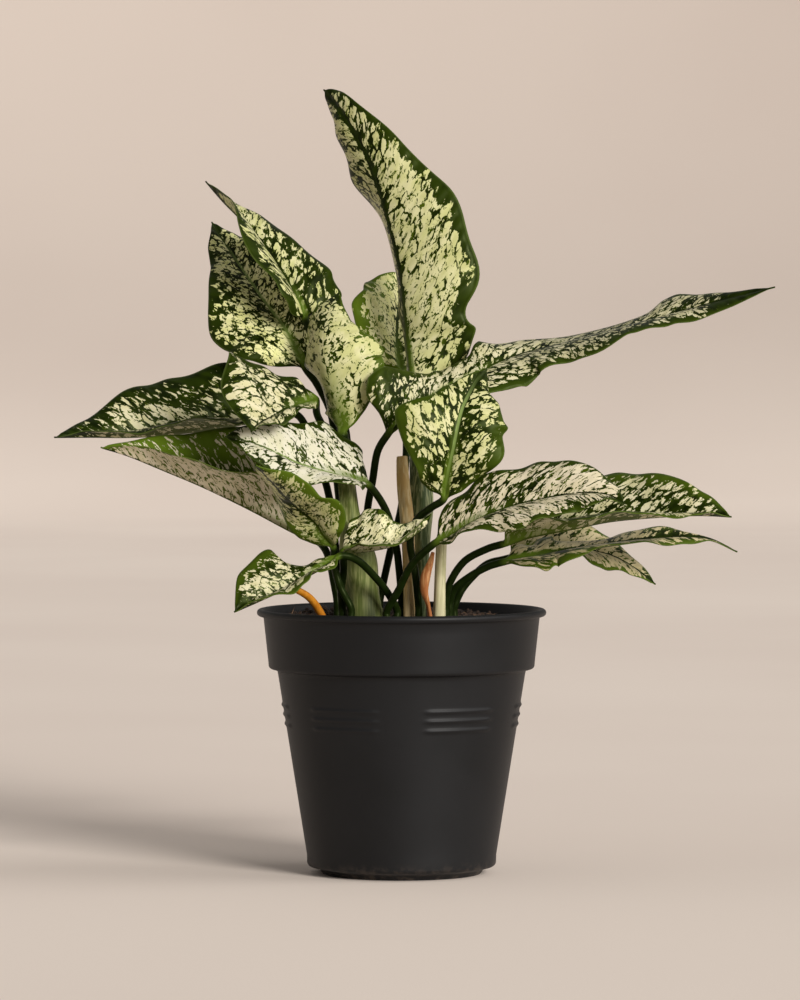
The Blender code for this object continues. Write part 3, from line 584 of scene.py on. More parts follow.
def leaf_path(spec):
    """Points up the stalk and along the midrib, with their share and length of the blade."""
    stalk = list(spec["stalk"])
    across, deep, up = stalk[0]
    if up < LOWEST_FREE_STALK:
        stalk = [(across, deep, STALK_FOOT), (across, deep, STALK_UPRIGHT_TO)] + stalk
    rib = [row[0] for row in spec["rib"]]
    start = len(stalk)
    last = start + len(rib) - 1
    stalk_steps = np.linspace(0, start, 1 + start * STALK_ROWS_PER_POINT)[:-1]
    steps = np.concatenate([stalk_steps, np.linspace(start, last, BLADE_ROWS + 1)])
    points = spline(stalk + rib, steps) * MM
    runs = np.linalg.norm(np.diff(points, axis=0), axis=1)
    length = np.concatenate([[0], np.cumsum(runs)])
    length -= length[len(stalk_steps)]
    return points, (steps - start) / (last - start), length


# %% Rippled margins
RIPPLE = 1.7 * MM
FINE_RIPPLE = 0.45 * MM
SCALLOP = 0.05
FINE_SCALLOP = 0.035
FINE_SCALLOP_PACE = 1.8
FINE_RIPPLE_PACE = 2.9
# A half's side, which is also its place in a row of the rib, and where its scallops, its
# ripples and its fine scallops start
HALF_PHASES = ((1, 2.2, 0.6, 0.0), (-1, 5.0, 3.4, 2.5))


def leaf_halves(spec, number, on_blade):
    """By side, each half's directions out and up, its width and its coarse and fine ripple."""
    swell = np.sqrt(np.sin(math.pi * on_blade))
    wave = 2 * math.pi * spec["waves"] * on_blade
    halves = {}
    for side, phase, ripple_phase, fine_phase in HALF_PHASES:
        margin = [row[side] for row in spec["rib"]]
        wide, angle = half_blade(margin, on_blade * (len(margin) - 1))
        out = side * np.stack([np.cos(angle), np.sin(angle)], axis=1)
        up = np.stack([-out[:, 1], out[:, 0]], axis=1)
        fine_scallops = FINE_SCALLOP * np.sin(FINE_SCALLOP_PACE * wave + number + fine_phase)
        scallops = SCALLOP * np.sin(wave + phase) + fine_scallops
        coarse = RIPPLE * np.sin(wave + ripple_phase)
        fine_start = 2.1 * ripple_phase + number
        fine = FINE_RIPPLE * np.sin(FINE_RIPPLE_PACE * wave + fine_start)
        halves[side] = (out, up, wide * (1 + scallops * swell), coarse * swell, fine * swell)
    return halves


# %% Leaf skin
def leaf_rings(spec, number):
    """Rings round the stalk and the blade, with each point's place on the leaf."""
    points, share, length = leaf_path(spec)
    beside, front = path_frames(points, spec["turn"])
    on_blade = np.clip(share, 0, 1)
    halves = leaf_halves(spec, number, on_blade)
    up_rib = halves[1][1] + halves[-1][1]
    spread = np.linalg.norm(up_rib, axis=1) / 2
    up_rib /= 2 * spread[:, None]
    out_rib = np.stack([up_rib[:, 1], -up_rib[:, 0]], axis=1)
    radius = spec.get("stalk_radius", STALK_RADIUS / MM) * MM
    radius = radius + (TIP_RADIUS - radius) * on_blade
    opening = np.clip(share / OPENING_SHARE, 0, 1)
    flat = smooth_step(np.minimum(opening, np.clip((1 - share) / CLOSING_SHARE, 0, 1)))

    # From one margin to the other, the skin above and below
    columns = 2 * HALF_COLUMNS + 1
    top, bottom, places = [], [], []
    for column in range(columns):
        u = (column - HALF_COLUMNS) / HALF_COLUMNS
        out, up, wide, coarse, fine = halves[1 if u >= 0 else -1]
        bend = coarse * u * u + fine * abs(u) ** 3
        arch = ARCH * wide * 4 * abs(u) * (1 - abs(u))
        beside_rib = np.abs(u) * wide
        if u == 0:
            up = up_rib
        middle = out * (wide * u)[:, None] + up * (arch + bend)[:, None]
        half = BLADE_THICKNESS / 2 * (1 - 0.5 * abs(u) ** 6)
        groove = GROOVE_DEPTH * np.exp(-((beside_rib / GROOVE_REACH) ** 2))
        keel = KEEL_DEPTH + 0.75 * radius * (1 - on_blade) ** 1.5
        keel = keel * np.exp(-((beside_rib / KEEL_REACH) ** 2)) * (1 - 0.7 * on_blade)
        turn = math.pi * (1 - (column + 0.5) / columns)
        round_out = math.cos(turn) * out_rib * radius[:, None]
        round_up = math.sin(turn) * up_rib * radius[:, None]
        for skin, rounded, flattened in (
            (top, round_out + round_up, middle + up * (half - groove)[:, None]),
            (bottom, round_out - round_up, middle - up * (half + keel)[:, None]),
        ):
            skin.append(rounded + (flattened - rounded) * flat[:, None])
        places.append((u * wide, u))
    offsets = np.stack(top + bottom[::-1], axis=1)
    rings = points[:, None, :] + offsets[..., :1] * beside[:, None, :]
    rings = rings + offsets[..., 1:] * front[:, None, :]

    places = places + places[::-1]
    blade_mm = np.zeros(rings.shape)
    blade_mm[..., 0] = np.stack([wide for wide, u in places], axis=1) / MM
    blade_mm[..., 1] = (length / MM)[:, None]
    blade_mm[..., 2] = PATTERN_STEP * number
    blade_share = np.zeros(rings.shape)
    blade_share[..., 0] = np.array([u for wide, u in places])
    blade_share[..., 1] = share[:, None]
    blade_share[:, :columns, 2] = 1.0
    return rings, {"blade_mm": blade_mm, "blade_share": blade_share}


def rolled_skin(rings, layers=None):
    """A closed skin through rings of equal length: one grid, rolled up and capped."""
    count, around = rings.shape[:2]
    bm = bmesh.new()
    bmesh.ops.create_grid(bm, x_segments=count - 1, y_segments=around, size=0.5)
    keys = {name: bm.verts.layers.float_vector.new(name) for name in layers or {}}
    for vert in bm.verts:
        i = round((vert.co.x + 0.5) * (count - 1))
        j = round((vert.co.y + 0.5) * around) % around
        vert.co = rings[i, j]
        for name, key in keys.items():
            vert[key] = layers[name][i, j]
    bmesh.ops.remove_doubles(bm, verts=bm.verts[:], dist=1e-7)
    bmesh.ops.holes_fill(bm, edges=[edge for edge in bm.edges if edge.is_boundary], sides=0)
    return bm

# %% [markdown]
# ## The spotted finish
#
# The pattern is cream cells on dark green. The cells stretch along the side veins, which
# leave the midrib at a slant, they thin out towards the margin and the tip, and dark
# lines run between them. A picture would be simplest, but nodes scale with the leaf and
# need no file. The skin carries two sets of values for it: each point's distance from
# the midrib and along it in millimetres, and its share of the half's width.

# %% Blotch group
VEIN_ALONG, VEIN_BESIDE = 0.80, 0.60
HALF_SHIFT = 3.7


def new_group(name, takes, gives):
    """An empty node group with named inputs and outputs."""
    tree = bpy.data.node_groups.new(name, "ShaderNodeTree")
    for way, sockets in (("INPUT", takes), ("OUTPUT", gives)):
        for label, kind in sockets:
            tree.interface.new_socket(name=label, in_out=way, socket_type="NodeSocket" + kind)
    entry = tree.nodes.new("NodeGroupInput")
    return tree, entry.outputs, tree.nodes.new("NodeGroupOutput")


NUMBERS = ("Cream", "Cell mm", "Stretch", "Dark margin", "Dark rib mm", "Specks")
BLOTCH_TAKES = [("Blade mm", "Vector"), ("Blade share", "Vector")]
BLOTCH_TAKES += [(label, "Float") for label in NUMBERS]
BLOTCH_GIVES = [(label, "Float") for label in ("Cream", "Halo", "Vein", "Mottle", "Beside")]
blotches, takes, blotch_end = new_group("leaf blotches", BLOTCH_TAKES, BLOTCH_GIVES)


def inside(operation, *values):
    """One Math node in the blotch group."""
    return maths(blotches, operation, *values)


print("blotch group takes", len(BLOTCH_TAKES), "values and gives", len(BLOTCH_GIVES))

# %% Cells along the side veins
CELL_SCALE = 0.85
WANDER_SCALE = 1.1
WANDER_REACH = 1.1
GAP_WIDTH = 0.26
GAP_PULL, CELL_PULL = -0.18, 0.02
mm_parts = new_node(blotches, "SeparateXYZ", {0: takes["Blade mm"]}).outputs
share_parts = new_node(blotches, "SeparateXYZ", {0: takes["Blade share"]}).outputs
beside = inside("ABSOLUTE", mm_parts[0])
edge = inside("ABSOLUTE", share_parts[0])
half_side = inside("SIGN", mm_parts[0])
with_vein = inside("ADD", inside("MULTIPLY", mm_parts[1], VEIN_ALONG),
                   inside("MULTIPLY", beside, VEIN_BESIDE))
over_vein = inside("SUBTRACT", inside("MULTIPLY", beside, VEIN_ALONG),
                   inside("MULTIPLY", mm_parts[1], VEIN_BESIDE))
long_step = inside("MULTIPLY", takes["Cell mm"], takes["Stretch"])
flat_place = new_node(blotches, "CombineXYZ", {
    0: inside("DIVIDE", with_vein, long_step),
    1: inside("DIVIDE", over_vein, takes["Cell mm"]),
    2: inside("MULTIPLY_ADD", half_side, HALF_SHIFT, mm_parts[2]),
}).outputs[0]
wander = noise_value(blotches, flat_place, WANDER_SCALE, output="Color")
wander = new_node(blotches, "VectorMath", {0: wander, 1: (0.5, 0.5, 0.5)}, operation="SUBTRACT")
wander = new_node(blotches, "VectorMath", {0: wander.outputs[0], "Scale": WANDER_REACH},
                  operation="SCALE")
place = new_node(blotches, "VectorMath", {0: flat_place, 1: wander.outputs[0]}).outputs[0]
cells = noise_value(blotches, place, CELL_SCALE, detail=5.0, rough=0.68)
region = noise_value(blotches, flat_place, 0.17, detail=1.0)
mottle = noise_value(blotches, flat_place, 0.55, detail=3.0)
gaps = new_node(blotches, "TexVoronoi", {"Vector": place, "Scale": CELL_SCALE},
                feature="DISTANCE_TO_EDGE")
gap = ramp(blotches, gaps.outputs[0], 0.0, GAP_WIDTH, GAP_PULL, CELL_PULL)
print("blotch group started:", len(blotches.nodes), "nodes")

# %% Where the cream may lie
# What each part adds to the score at its full value
REGION_PULL = 0.45
CREAM_PULL = 0.7
MARGIN_PULL = -0.42
RIB_PULL = -0.42
TIP_PULL = -0.40
BASE_PULL = -0.22
PATCH_EDGE = (-0.008, 0.010)
score = inside("ADD", inside("SUBTRACT", cells, 0.5), gap)
score = add_part(blotches, score, region, REGION_PULL, middle=0.5)
score = add_part(blotches, score, takes["Cream"], CREAM_PULL, middle=0.5)
margin_start = inside("SUBTRACT", 1.0, inside("MULTIPLY", takes["Dark margin"], 1.6))
uneven = add_part(blotches, edge, mottle, 0.9, middle=0.5)
margin = ramp(blotches, uneven, margin_start, 1.0)
score = add_part(blotches, score, margin, MARGIN_PULL)
near_rib = ramp(blotches, beside, inside("MULTIPLY", takes["Dark rib mm"], 0.3),
                inside("MULTIPLY", takes["Dark rib mm"], 1.7), 1.0, 0.0)
rib_gate = ramp(blotches, takes["Dark rib mm"], 0.05, 0.6)
score = add_part(blotches, score, inside("MULTIPLY", near_rib, rib_gate), RIB_PULL)
tip = ramp(blotches, share_parts[1], 0.86, 1.0)
score = add_part(blotches, score, tip, TIP_PULL)
base = ramp(blotches, share_parts[1], 0.0, 0.12, 1.0, 0.0)
score = add_part(blotches, score, base, BASE_PULL)
patches = ramp(blotches, score, *PATCH_EDGE)
print("score ready:", len(blotches.nodes), "nodes")

# %% Flecks, specks and veins
FLECK_EDGE = (0.605, 0.630)
SPECK_EDGE = (0.695, 0.720)
HALO_EDGE = (-0.08, 0.01)
SPECK_SHIFT = (17.0, 5.0, 9.0)
VEIN_SLANT = 0.75
VEIN_TURN_PER_MM = 1.15
fleck = noise_value(blotches, place, 2.3, detail=2.0, rough=0.6)
fleck = add_part(blotches, fleck, score, 0.50)
cream = inside("MAXIMUM", patches, ramp(blotches, fleck, *FLECK_EDGE))
other_place = new_node(blotches, "VectorMath", {0: place, 1: SPECK_SHIFT}).outputs[0]
speck = noise_value(blotches, other_place, 2.1, detail=2.0, rough=0.65)
speck = add_part(blotches, speck, takes["Specks"], 0.13)
is_speck = ramp(blotches, speck, *SPECK_EDGE)
cream = inside("MULTIPLY", cream, inside("SUBTRACT", 1.0, is_speck))

slant = inside("SUBTRACT", mm_parts[1], inside("MULTIPLY", beside, VEIN_SLANT))
side_vein = inside("SINE", inside("MULTIPLY", slant, VEIN_TURN_PER_MM))
halo = ramp(blotches, score, *HALO_EDGE)
fill(blotches, blotch_end, {
    "Cream": cream, "Halo": halo, "Vein": side_vein, "Mottle": mottle, "Beside": beside,
})
print("blotch group:", len(blotches.nodes), "nodes")

# %% [markdown]
# ## Each leaf's own finish
#
# No two leaves are spotted alike. Young ones are nearly white, old ones mostly dark, and
# those seen from below are dull and a little pink. One function builds the finish, and a
# short row of values for each leaf sets it.

# %% Leaf finish
LEAF_GREEN = (0.0036, 0.0072, 0.0003)
LEAF_GREEN_LIGHT = (0.013, 0.023, 0.0007)
HALO_GREEN = (0.066, 0.098, 0.004)
# The brighter green of a margin with painted backlight
PAINTED_BACKLIGHT_GREEN = (0.085, 0.135, 0.008)
BASE_GREEN = (0.085, 0.135, 0.012)
UNDER_GREEN = (0.080, 0.105, 0.020)
LINE_GREEN = (0.22, 0.30, 0.09)
# The lighter green of a painted rim light along the margin
PAINTED_RIM_LIGHT_GREEN = (0.10, 0.14, 0.03)
STALK_GREEN = (0.007, 0.014, 0.002)
GREEN_SHINE = (0.85, 1.0, 0.45, 1.0)
RIB_FREE_MM = 1.5


def leaf_finish(name, cream, cell, stretch, margin, dark_rib, specks, pale_line, colours,
                backlight_paint, base_green, shift=0.0):
    """The spotted, softly shining surface of one leaf."""
    material, tree, shader = new_finish(name)
    blade_mm = new_node(tree, "Attribute", attribute_name="blade_mm").outputs["Vector"]
    blade_share = new_node(tree, "Attribute", attribute_name="blade_share").outputs["Vector"]
    across, along, above = new_node(tree, "SeparateXYZ", {0: blade_share}).outputs
    if shift:
        cream = ramp(tree, across, -0.02, 0.02, cream, cream + shift)
    found = new_node(tree, "Group", {
        "Blade mm": blade_mm, "Blade share": blade_share, "Cream": cream, "Cell mm": cell,
        "Stretch": stretch, "Dark margin": margin, "Dark rib mm": dark_rib, "Specks": specks,
    }, node_tree=blotches).outputs
    mottle = ramp(tree, found["Mottle"], 0.35, 0.65)
    edge = maths(tree, "ABSOLUTE", across)
    below = maths(tree, "SUBTRACT", 1.0, above)
    below = maths(tree, "MULTIPLY", below, ramp(tree, along, 0.72, 0.90, 1.0, 0.0))

    green = mix_colours(tree, mottle, LEAF_GREEN, LEAF_GREEN_LIGHT)
    green = mix_colours(tree, maths(tree, "MULTIPLY", found["Halo"], 0.65), green, HALO_GREEN)
    # A brighter green towards each margin, by each leaf's amount: painted backlight shining
    # through the thin edge.
    backlight_paint_start = 0.75 - 0.6 * backlight_paint
    lit_edge = maths(tree, "MULTIPLY", ramp(tree, edge, backlight_paint_start, backlight_paint_start + 0.4), backlight_paint)
    green = mix_colours(tree, lit_edge, green, PAINTED_BACKLIGHT_GREEN)
    green = mix_colours(tree, maths(tree, "MULTIPLY", below, 0.75), green, UNDER_GREEN)

    face = mix_colours(tree, found["Cream"], green, mix_colours(tree, mottle, *colours))
    line = ramp(tree, found["Beside"], pale_line * 0.4, pale_line, 0.75, 0.0)
    line = maths(tree, "MULTIPLY", line, ramp(tree, along, 0.55, 0.90, 1.0, 0.1))
    face = mix_colours(tree, line, face, LINE_GREEN)
    # A thin lighter line along the very margin: painted rim light where the edge catches the
    # lamp.
    face = blend(tree, edge, 0.965, 1.0, face, PAINTED_RIM_LIGHT_GREEN, 0.0, 0.45)
    face = mix_colours(tree, maths(tree, "MULTIPLY", below, 0.10), face, UNDER_GREEN)
    near = ramp(tree, found["Beside"], RIB_FREE_MM, base_green + RIB_FREE_MM, 1.0, 0.0)
    near = maths(tree, "MULTIPLY", near, ramp(tree, along, 0.12, 0.55, 0.9, 0.0))
    face = mix_colours(tree, near, face, BASE_GREEN)

    sheen = add_part(tree, 0.33, below, 0.16)
    height = add_part(tree, found["Vein"], found["Cream"], 0.15)
    fill(tree, shader, {
        "Base Color": blend(tree, along, -0.02, 0.07, face, STALK_GREEN, 1.0, 0.0),
        "Roughness": add_part(tree, sheen, mottle, 0.08),
        "Specular IOR Level": 0.10,
        "Specular Tint": GREEN_SHINE,
        "Normal": bump(tree, strength=0.35, distance=0.00022, height=height),
    })
    return material


print("leaf finish ready")

# %% Each leaf's look
YELLOW = ((0.46, 0.46, 0.20), (0.56, 0.54, 0.30))
WARM = ((0.49, 0.46, 0.26), (0.58, 0.54, 0.36))
WHITE = ((0.54, 0.52, 0.37), (0.61, 0.58, 0.47))
CREAM = ((0.64, 0.61, 0.34), (0.74, 0.70, 0.46))
# A brighter copy of the yellow cream, used for leaf_behind and leaf_broad, which lie in shade:
# painted light.
PAINTED_LIT_YELLOW = ((0.60, 0.60, 0.25), (0.70, 0.68, 0.36))
PINK = ((0.56, 0.50, 0.33), (0.65, 0.58, 0.43))
BEIGE = ((0.40, 0.34, 0.18), (0.50, 0.43, 0.26))
# name: cream, cell mm, stretch, dark margin, dark rib mm, specks, pale line mm, colours,
# painted backlight at the margin, green base mm, and the change of cream on the first half
LOOKS = {
    "leaf_top": (0.69, 2.5, 2.2, 0.15, 0.9, 0.8, 0.01, YELLOW, 0.1, 1.0),
    "leaf_behind": (0.68, 2.5, 1.4, 0.14, 0.6, 0.6, 0.01, PAINTED_LIT_YELLOW, 1.0, 1.0),
    "leaf_pale": (0.77, 3.0, 1.4, 0.12, 0.2, 0.6, 0.01, YELLOW, 0.5, 6.0),
    "leaf_broad": (0.64, 2.3, 1.5, 0.11, 0.3, 0.8, 0.9, PAINTED_LIT_YELLOW, 0.1, 1.0),
    "leaf_pointed": (0.62, 2.3, 2.4, 0.15, 0.8, 0.7, 0.01, YELLOW, 0.1, 1.0),
    "leaf_draped": (0.64, 2.4, 1.9, 0.11, 0.4, 0.7, 0.01, WARM, 0.1, 2.5),
    "leaf_long": (0.60, 2.2, 2.0, 0.13, 0.4, 0.8, 0.01, WARM, 0.2, 1.0),
    "leaf_heart": (0.57, 2.4, 1.8, 0.12, 0.8, 0.6, 0.9, YELLOW, 0.3, 1.0),
    "leaf_far_left": (0.54, 2.4, 2.3, 0.14, 0.4, 0.6, 0.01, WARM, 0.0, 1.0),
    "leaf_boat": (0.82, 2.2, 3.0, 0.10, 0.4, 1.15, 0.01, PINK, 1.0, 2.0, -0.32),
    "leaf_speckled": (0.72, 2.0, 1.9, 0.16, 0.5, 1.1, 0.01, YELLOW, 0.7, 2.5),
    "leaf_white": (0.75, 2.5, 1.9, 0.12, 0.4, 0.8, 0.7, WHITE, 0.1, 1.5),
    "leaf_low_left": (0.60, 2.1, 1.9, 0.14, 0.4, 0.8, 0.01, WARM, 0.4, 1.5),
    "leaf_curled": (0.74, 2.1, 2.0, 0.10, 0.3, 1.0, 0.01, CREAM, 0.4, 1.5),
    "leaf_low_right": (0.70, 2.1, 2.8, 0.10, 0.4, 0.9, 0.01, PINK, 0.2, 1.5),
    "leaf_far_right": (0.57, 2.2, 2.2, 0.10, 0.5, 0.7, 0.01, WARM, 0.4, 5.0),
    "leaf_slender": (0.66, 2.2, 3.0, 0.10, 1.5, 0.6, 0.01, BEIGE, 0.5, 2.0),
    "leaf_lowest_right": (0.76, 2.2, 2.8, 0.08, 0.4, 0.8, 0.01, BEIGE, 0.6, 3.0),
}
print("finishes for", len(LOOKS), "leaves")

# %% Make the leaves
for number, (name, spec) in enumerate(LEAVES.items()):
    rings, layers = leaf_rings(spec, number)
    skin = rolled_skin(rings, layers)
    finish = leaf_finish(name + "_finish", *LOOKS[name])
    piece = add_piece(name + "_skin", skin, finish, node=name)
    print(name, len(piece.data.polygons), "faces")

# %% [markdown]
# ## Stems, sheaths and old stalks
#
# The stems are wrapped in old leaf bases, so they aren't smooth pipes: an edge of sheath
# winds up each one and fine ridges run along it. The same rolled skin makes them, with
# the ridges added to the radius. Streaks in the colour follow the stem, because the
# pattern is stretched along the height.

# %% Stem rows
# The ridges' height and number and the sheath's height, then points (across, deep, up)
# with the radius there.
STEMS = {
    "stem_left": dict(ridge=0.16, ridges=5, sheath=0.8, rows=[
        ((-15, 0, 104), 7.4), ((-16, 0, 116), 6.9), ((-17.5, 0, 128), 7.7),
        ((-19, -0.3, 136), 6.6), ((-21, -1.5, 148), 3.9), ((-22.5, -3.5, 160), 3.2),
        ((-24, -6, 179.2), 2.7),
    ]),
    "stem_middle": dict(ridge=0.1, ridges=4, sheath=0.5, rows=[
        ((7, 4, 104), 2.9), ((8, 4, 125), 3.1), ((8.5, 4.5, 140), 3.6),
        ((8.5, 5, 152), 4.6), ((8, 6, 163), 4.2), ((6, 8, 175.6), 2.2),
    ]),
    "stem_tan": dict(ridge=0.08, ridges=4, sheath=0.45, rows=[
        ((3.5, -5, 104), 2.7), ((3.2, -5, 125), 2.6), ((2.5, -4.5, 145), 2.7),
        ((1, -3, 160), 2.5), ((0.3, -1.5, 173), 2.0),
    ]),
    "stem_stub": dict(ridge=0.07, ridges=5, sheath=0.25, rows=[
        ((15.5, -13, 104), 2.5), ((16, -13, 124), 2.3), ((16.5, -13.5, 138.5), 2.1),
    ]),
    "stalk_orange": dict(ridge=0.05, ridges=3, sheath=0.12, rows=[
        ((-32, -14, 104), 1.6), ((-34, -16.5, 110), 1.6), ((-38.5, -21, 116), 1.5),
        ((-46, -26, 120.5), 1.3),
    ]),
    "sheath_dry": dict(ridge=0.12, ridges=3, sheath=0.25, rows=[
        ((12, -18, 104), 0.9), ((11, -18.5, 112), 0.8), ((9.5, -19, 118), 1.6),
        ((10, -19, 124), 2.0), ((12, -18.5, 130), 1.2), ((13, -18, 134), 0.6),
    ]),
}
STEM_SIDES = 48
STEM_STEP = 0.05
# In metres: where the sheath starts to wind, and the climb that its turn is counted in
SHEATH_START = 0.104
SHEATH_CLIMB = 0.030
SHEATH_TURN = 0.22


def stem_rings(spec):
    """Rings round a stem, with ridges and the edge of a wound sheath."""
    rows = [(*point, radius) for point, radius in spec["rows"]]
    across, deep, _, radius = rows[0]
    rows.insert(0, (across, deep, STALK_FOOT, radius))
    steps = np.arange(0, len(rows) - 1 + STEM_STEP / 2, STEM_STEP)
    values = spline(rows, steps) * MM
    points = values[:, :3]
    beside, front = path_frames(points)
    rings = np.zeros((len(points), STEM_SIDES, 3))
    for side in range(STEM_SIDES):
        turn = 2 * math.pi * side / STEM_SIDES
        climb = (points[:, 2] - SHEATH_START) / SHEATH_CLIMB
        wound = (turn / (2 * math.pi) - SHEATH_TURN * climb) % 1.0
        ridge = spec["ridge"] * MM * np.sin(spec["ridges"] * turn + 9 * points[:, 2] / 0.1)
        sheath = spec["sheath"] * MM * (1 - wound) ** 3
        radius = values[:, 3] + ridge + sheath
        spoke = math.cos(turn) * beside + math.sin(turn) * front
        rings[:, side] = points + radius[:, None] * spoke
    return rings


print("stems and old stalks:", len(STEMS))

# %% Stem finish
STREAK_SCALE = (1.0, 1.0, 0.05)
FOOT_FROM, FOOT_TO = 0.104, 0.124


def stem_finish(name, ground, streak, foot):
    """A streaked stem with another colour at its foot."""
    material, tree, shader = new_finish(name)
    place = object_place(tree)
    squeezed = new_node(tree, "Mapping", {"Vector": place, "Scale": STREAK_SCALE}).outputs[0]
    streaks = noise_value(tree, squeezed, 900.0, detail=3.0, rough=0.6)
    patches = noise_value(tree, place, 90.0, detail=3.0)
    colour = blend(tree, streaks, 0.42, 0.62, ground, streak)
    colour = blend(tree, patches, 0.52, 0.75, colour, ground, 0.0, 0.6)
    height = new_node(tree, "SeparateXYZ", {0: place}).outputs[2]
    fill(tree, shader, {
        "Base Color": blend(tree, height, FOOT_FROM, FOOT_TO, colour, foot, 0.75, 0.0),
        "Roughness": add_part(tree, 0.38, patches, 0.2),
        "Specular IOR Level": 0.25,
        "Normal": bump(tree, strength=0.4, distance=0.0003, height=streaks),
    })
    return material


# Ground, streaks and foot
STEM_COLOURS = {
    "stem_left": ((0.115, 0.145, 0.032), (0.26, 0.28, 0.10), (0.045, 0.060, 0.012)),
    "stem_middle": ((0.060, 0.095, 0.030), (0.30, 0.33, 0.17), (0.020, 0.035, 0.010)),
    "stem_tan": ((0.54, 0.36, 0.13), (0.66, 0.52, 0.26), (0.48, 0.36, 0.19)),
    "stem_stub": ((0.42, 0.40, 0.20), (0.66, 0.62, 0.38), (0.50, 0.46, 0.28)),
    "stalk_orange": ((0.47, 0.17, 0.006), (0.60, 0.26, 0.02), (0.40, 0.13, 0.01)),
    "sheath_dry": ((0.34, 0.12, 0.035), (0.52, 0.26, 0.10), (0.30, 0.10, 0.03)),
}
for name, spec in STEMS.items():
    finish = stem_finish(name + "_finish", *STEM_COLOURS[name])
    skin = rolled_skin(stem_rings(spec))
    piece = add_piece(name + "_skin", skin, finish, node=name, smooth_angle=50)
    print(name, len(piece.data.polygons), "faces")

# %% [markdown]
# ## The soil
#
# Potting soil is a heap of crumbs, fibres and bits of bark. A bumpy disc alone looks like
# mud, so a finer plug carries a layer of loose crumbs, which are small icospheres pushed
# out of round and joined in one piece. A few thin sticks lie among them.

# %% Soil finish
SOIL_COLOURS = ((0.014, 0.008, 0.006), (0.075, 0.040, 0.024))
FIBRE_COLOUR = (0.13, 0.075, 0.040)
soil_look, tree, shader = new_finish("damp_soil")
place = object_place(tree)
coarse = noise_value(tree, place, 420.0, detail=4.0, rough=0.65)
fine = noise_value(tree, place, 1900.0, detail=3.0, rough=0.7)
colour = blend(tree, coarse, 0.38, 0.62, *SOIL_COLOURS)
fill(tree, shader, {
    "Base Color": blend(tree, fine, 0.62, 0.72, colour, FIBRE_COLOUR, 0.0, 0.6),
    "Roughness": add_part(tree, 0.65, coarse, 0.3),
    "Normal": bump(tree, strength=0.8, distance=0.0006, height=fine),
})
print("soil finish:", len(tree.nodes), "nodes")

# %% Soil plug
SOIL_TOP = 103.6 * MM
SOIL_REACH = 55.2 * MM
SOIL_RINGS = 45
SOIL_SIDE = [(0, 3.15), (32.7, 3.15), (37.5, 7.0), (49.9, 83.8), (53.7, 88.3), (54.9, 102.4)]
HEAP = 1.4 * MM
BANK = 2.6 * MM
# In millimetres
BANK_RUN = 44
LUMP_SIZE, LUMP_HEIGHT = 9, 0.9
ROUGH_SIZE, ROUGH_HEIGHT = 2.4, 0.55


def soil_height(x, y):
    """The heaped top of the soil, which is banked up towards the back left."""
    reach = math.hypot(x, y) / (60 * MM)
    heap = HEAP * (1 - reach * reach)
    banked = min(1.0, max(0.0, (y / MM - 0.35 * x / MM) / BANK_RUN))
    heap += BANK * smooth_step(banked)
    lump = noise.noise(Vector((x, y, 0.0)) / (LUMP_SIZE * MM))
    return SOIL_TOP + heap + lump * LUMP_HEIGHT * MM


profile = [(reach * MM, height * MM) for reach, height in SOIL_SIDE]
profile += [(SOIL_REACH * (1 - (k + 1) / SOIL_RINGS), SOIL_TOP) for k in range(SOIL_RINGS)]
bm = turned_skin(profile, steps=150)
for vert in bm.verts:
    if vert.co.z > SOIL_TOP - 0.1 * MM:
        x, y = vert.co.x, vert.co.y
        rough = noise.fractal(Vector((x, y, 0.3)) / (ROUGH_SIZE * MM), 0.9, 2.1, 3)
        vert.co.z = soil_height(x, y) + rough * ROUGH_HEIGHT * MM
soil = add_piece("soil_plug", bm, soil_look, node="soil")
print("soil faces:", len(soil.data.polygons))

# %% Loose crumbs
CRUMBS = 1000
CRUMB_REACH = 54.0 * MM
CRUMB_SIZES = (0.35, 0.45, 0.6, 0.8, 1.15, 1.5)
# Both kinds of chance are seeded, so that every run gives the same crumbs
CRUMB_SEED = 7
draw = random.Random(CRUMB_SEED)
noise.seed_set(CRUMB_SEED)


def random_spot(limit):
    """A spot on the soil, spread evenly over a disc."""
    reach = limit * math.sqrt(draw.random())
    angle = draw.uniform(0, 2 * math.pi)
    return reach * math.cos(angle), reach * math.sin(angle)


bm = bmesh.new()
for crumb in range(CRUMBS):
    x, y = random_spot(CRUMB_REACH)
    radius = draw.choice(CRUMB_SIZES) * MM * draw.uniform(0.8, 1.15)
    z = soil_height(x, y) + radius * draw.uniform(0.1, 0.6)
    turn = Matrix.Rotation(draw.uniform(0, 6.28), 4, Vector((draw.random(), draw.random(), 0.3)))
    flat = Matrix.Diagonal((1.0, draw.uniform(0.6, 1.0), draw.uniform(0.45, 0.9), 1.0))
    place = Matrix.Translation((x, y, z)) @ turn @ flat
    made = bmesh.ops.create_icosphere(bm, subdivisions=1, radius=radius, matrix=place)
    for vert in made["verts"]:
        vert.co += noise.noise_vector(vert.co / (0.9 * MM)) * radius * 0.35
crumbs = add_piece("soil_crumbs", bm, soil_look, smooth_angle=35)
print("crumb faces:", len(crumbs.data.polygons))

# %% Bark fibres
BARK_COLOURS = ((0.030, 0.016, 0.009), (0.150, 0.085, 0.045))
bark, tree, shader = new_finish("bark_fibre")
streak = noise_value(tree, object_place(tree), 700.0, detail=3.0)
fill(tree, shader, {
    "Base Color": blend(tree, streak, 0.4, 0.6, *BARK_COLOURS),
    "Roughness": 0.8,
})
print("bark finish:", len(tree.nodes), "nodes")


# %% Fibres and twigs on the soil
TWIGS = 90
TWIG_REACH = 53.0 * MM
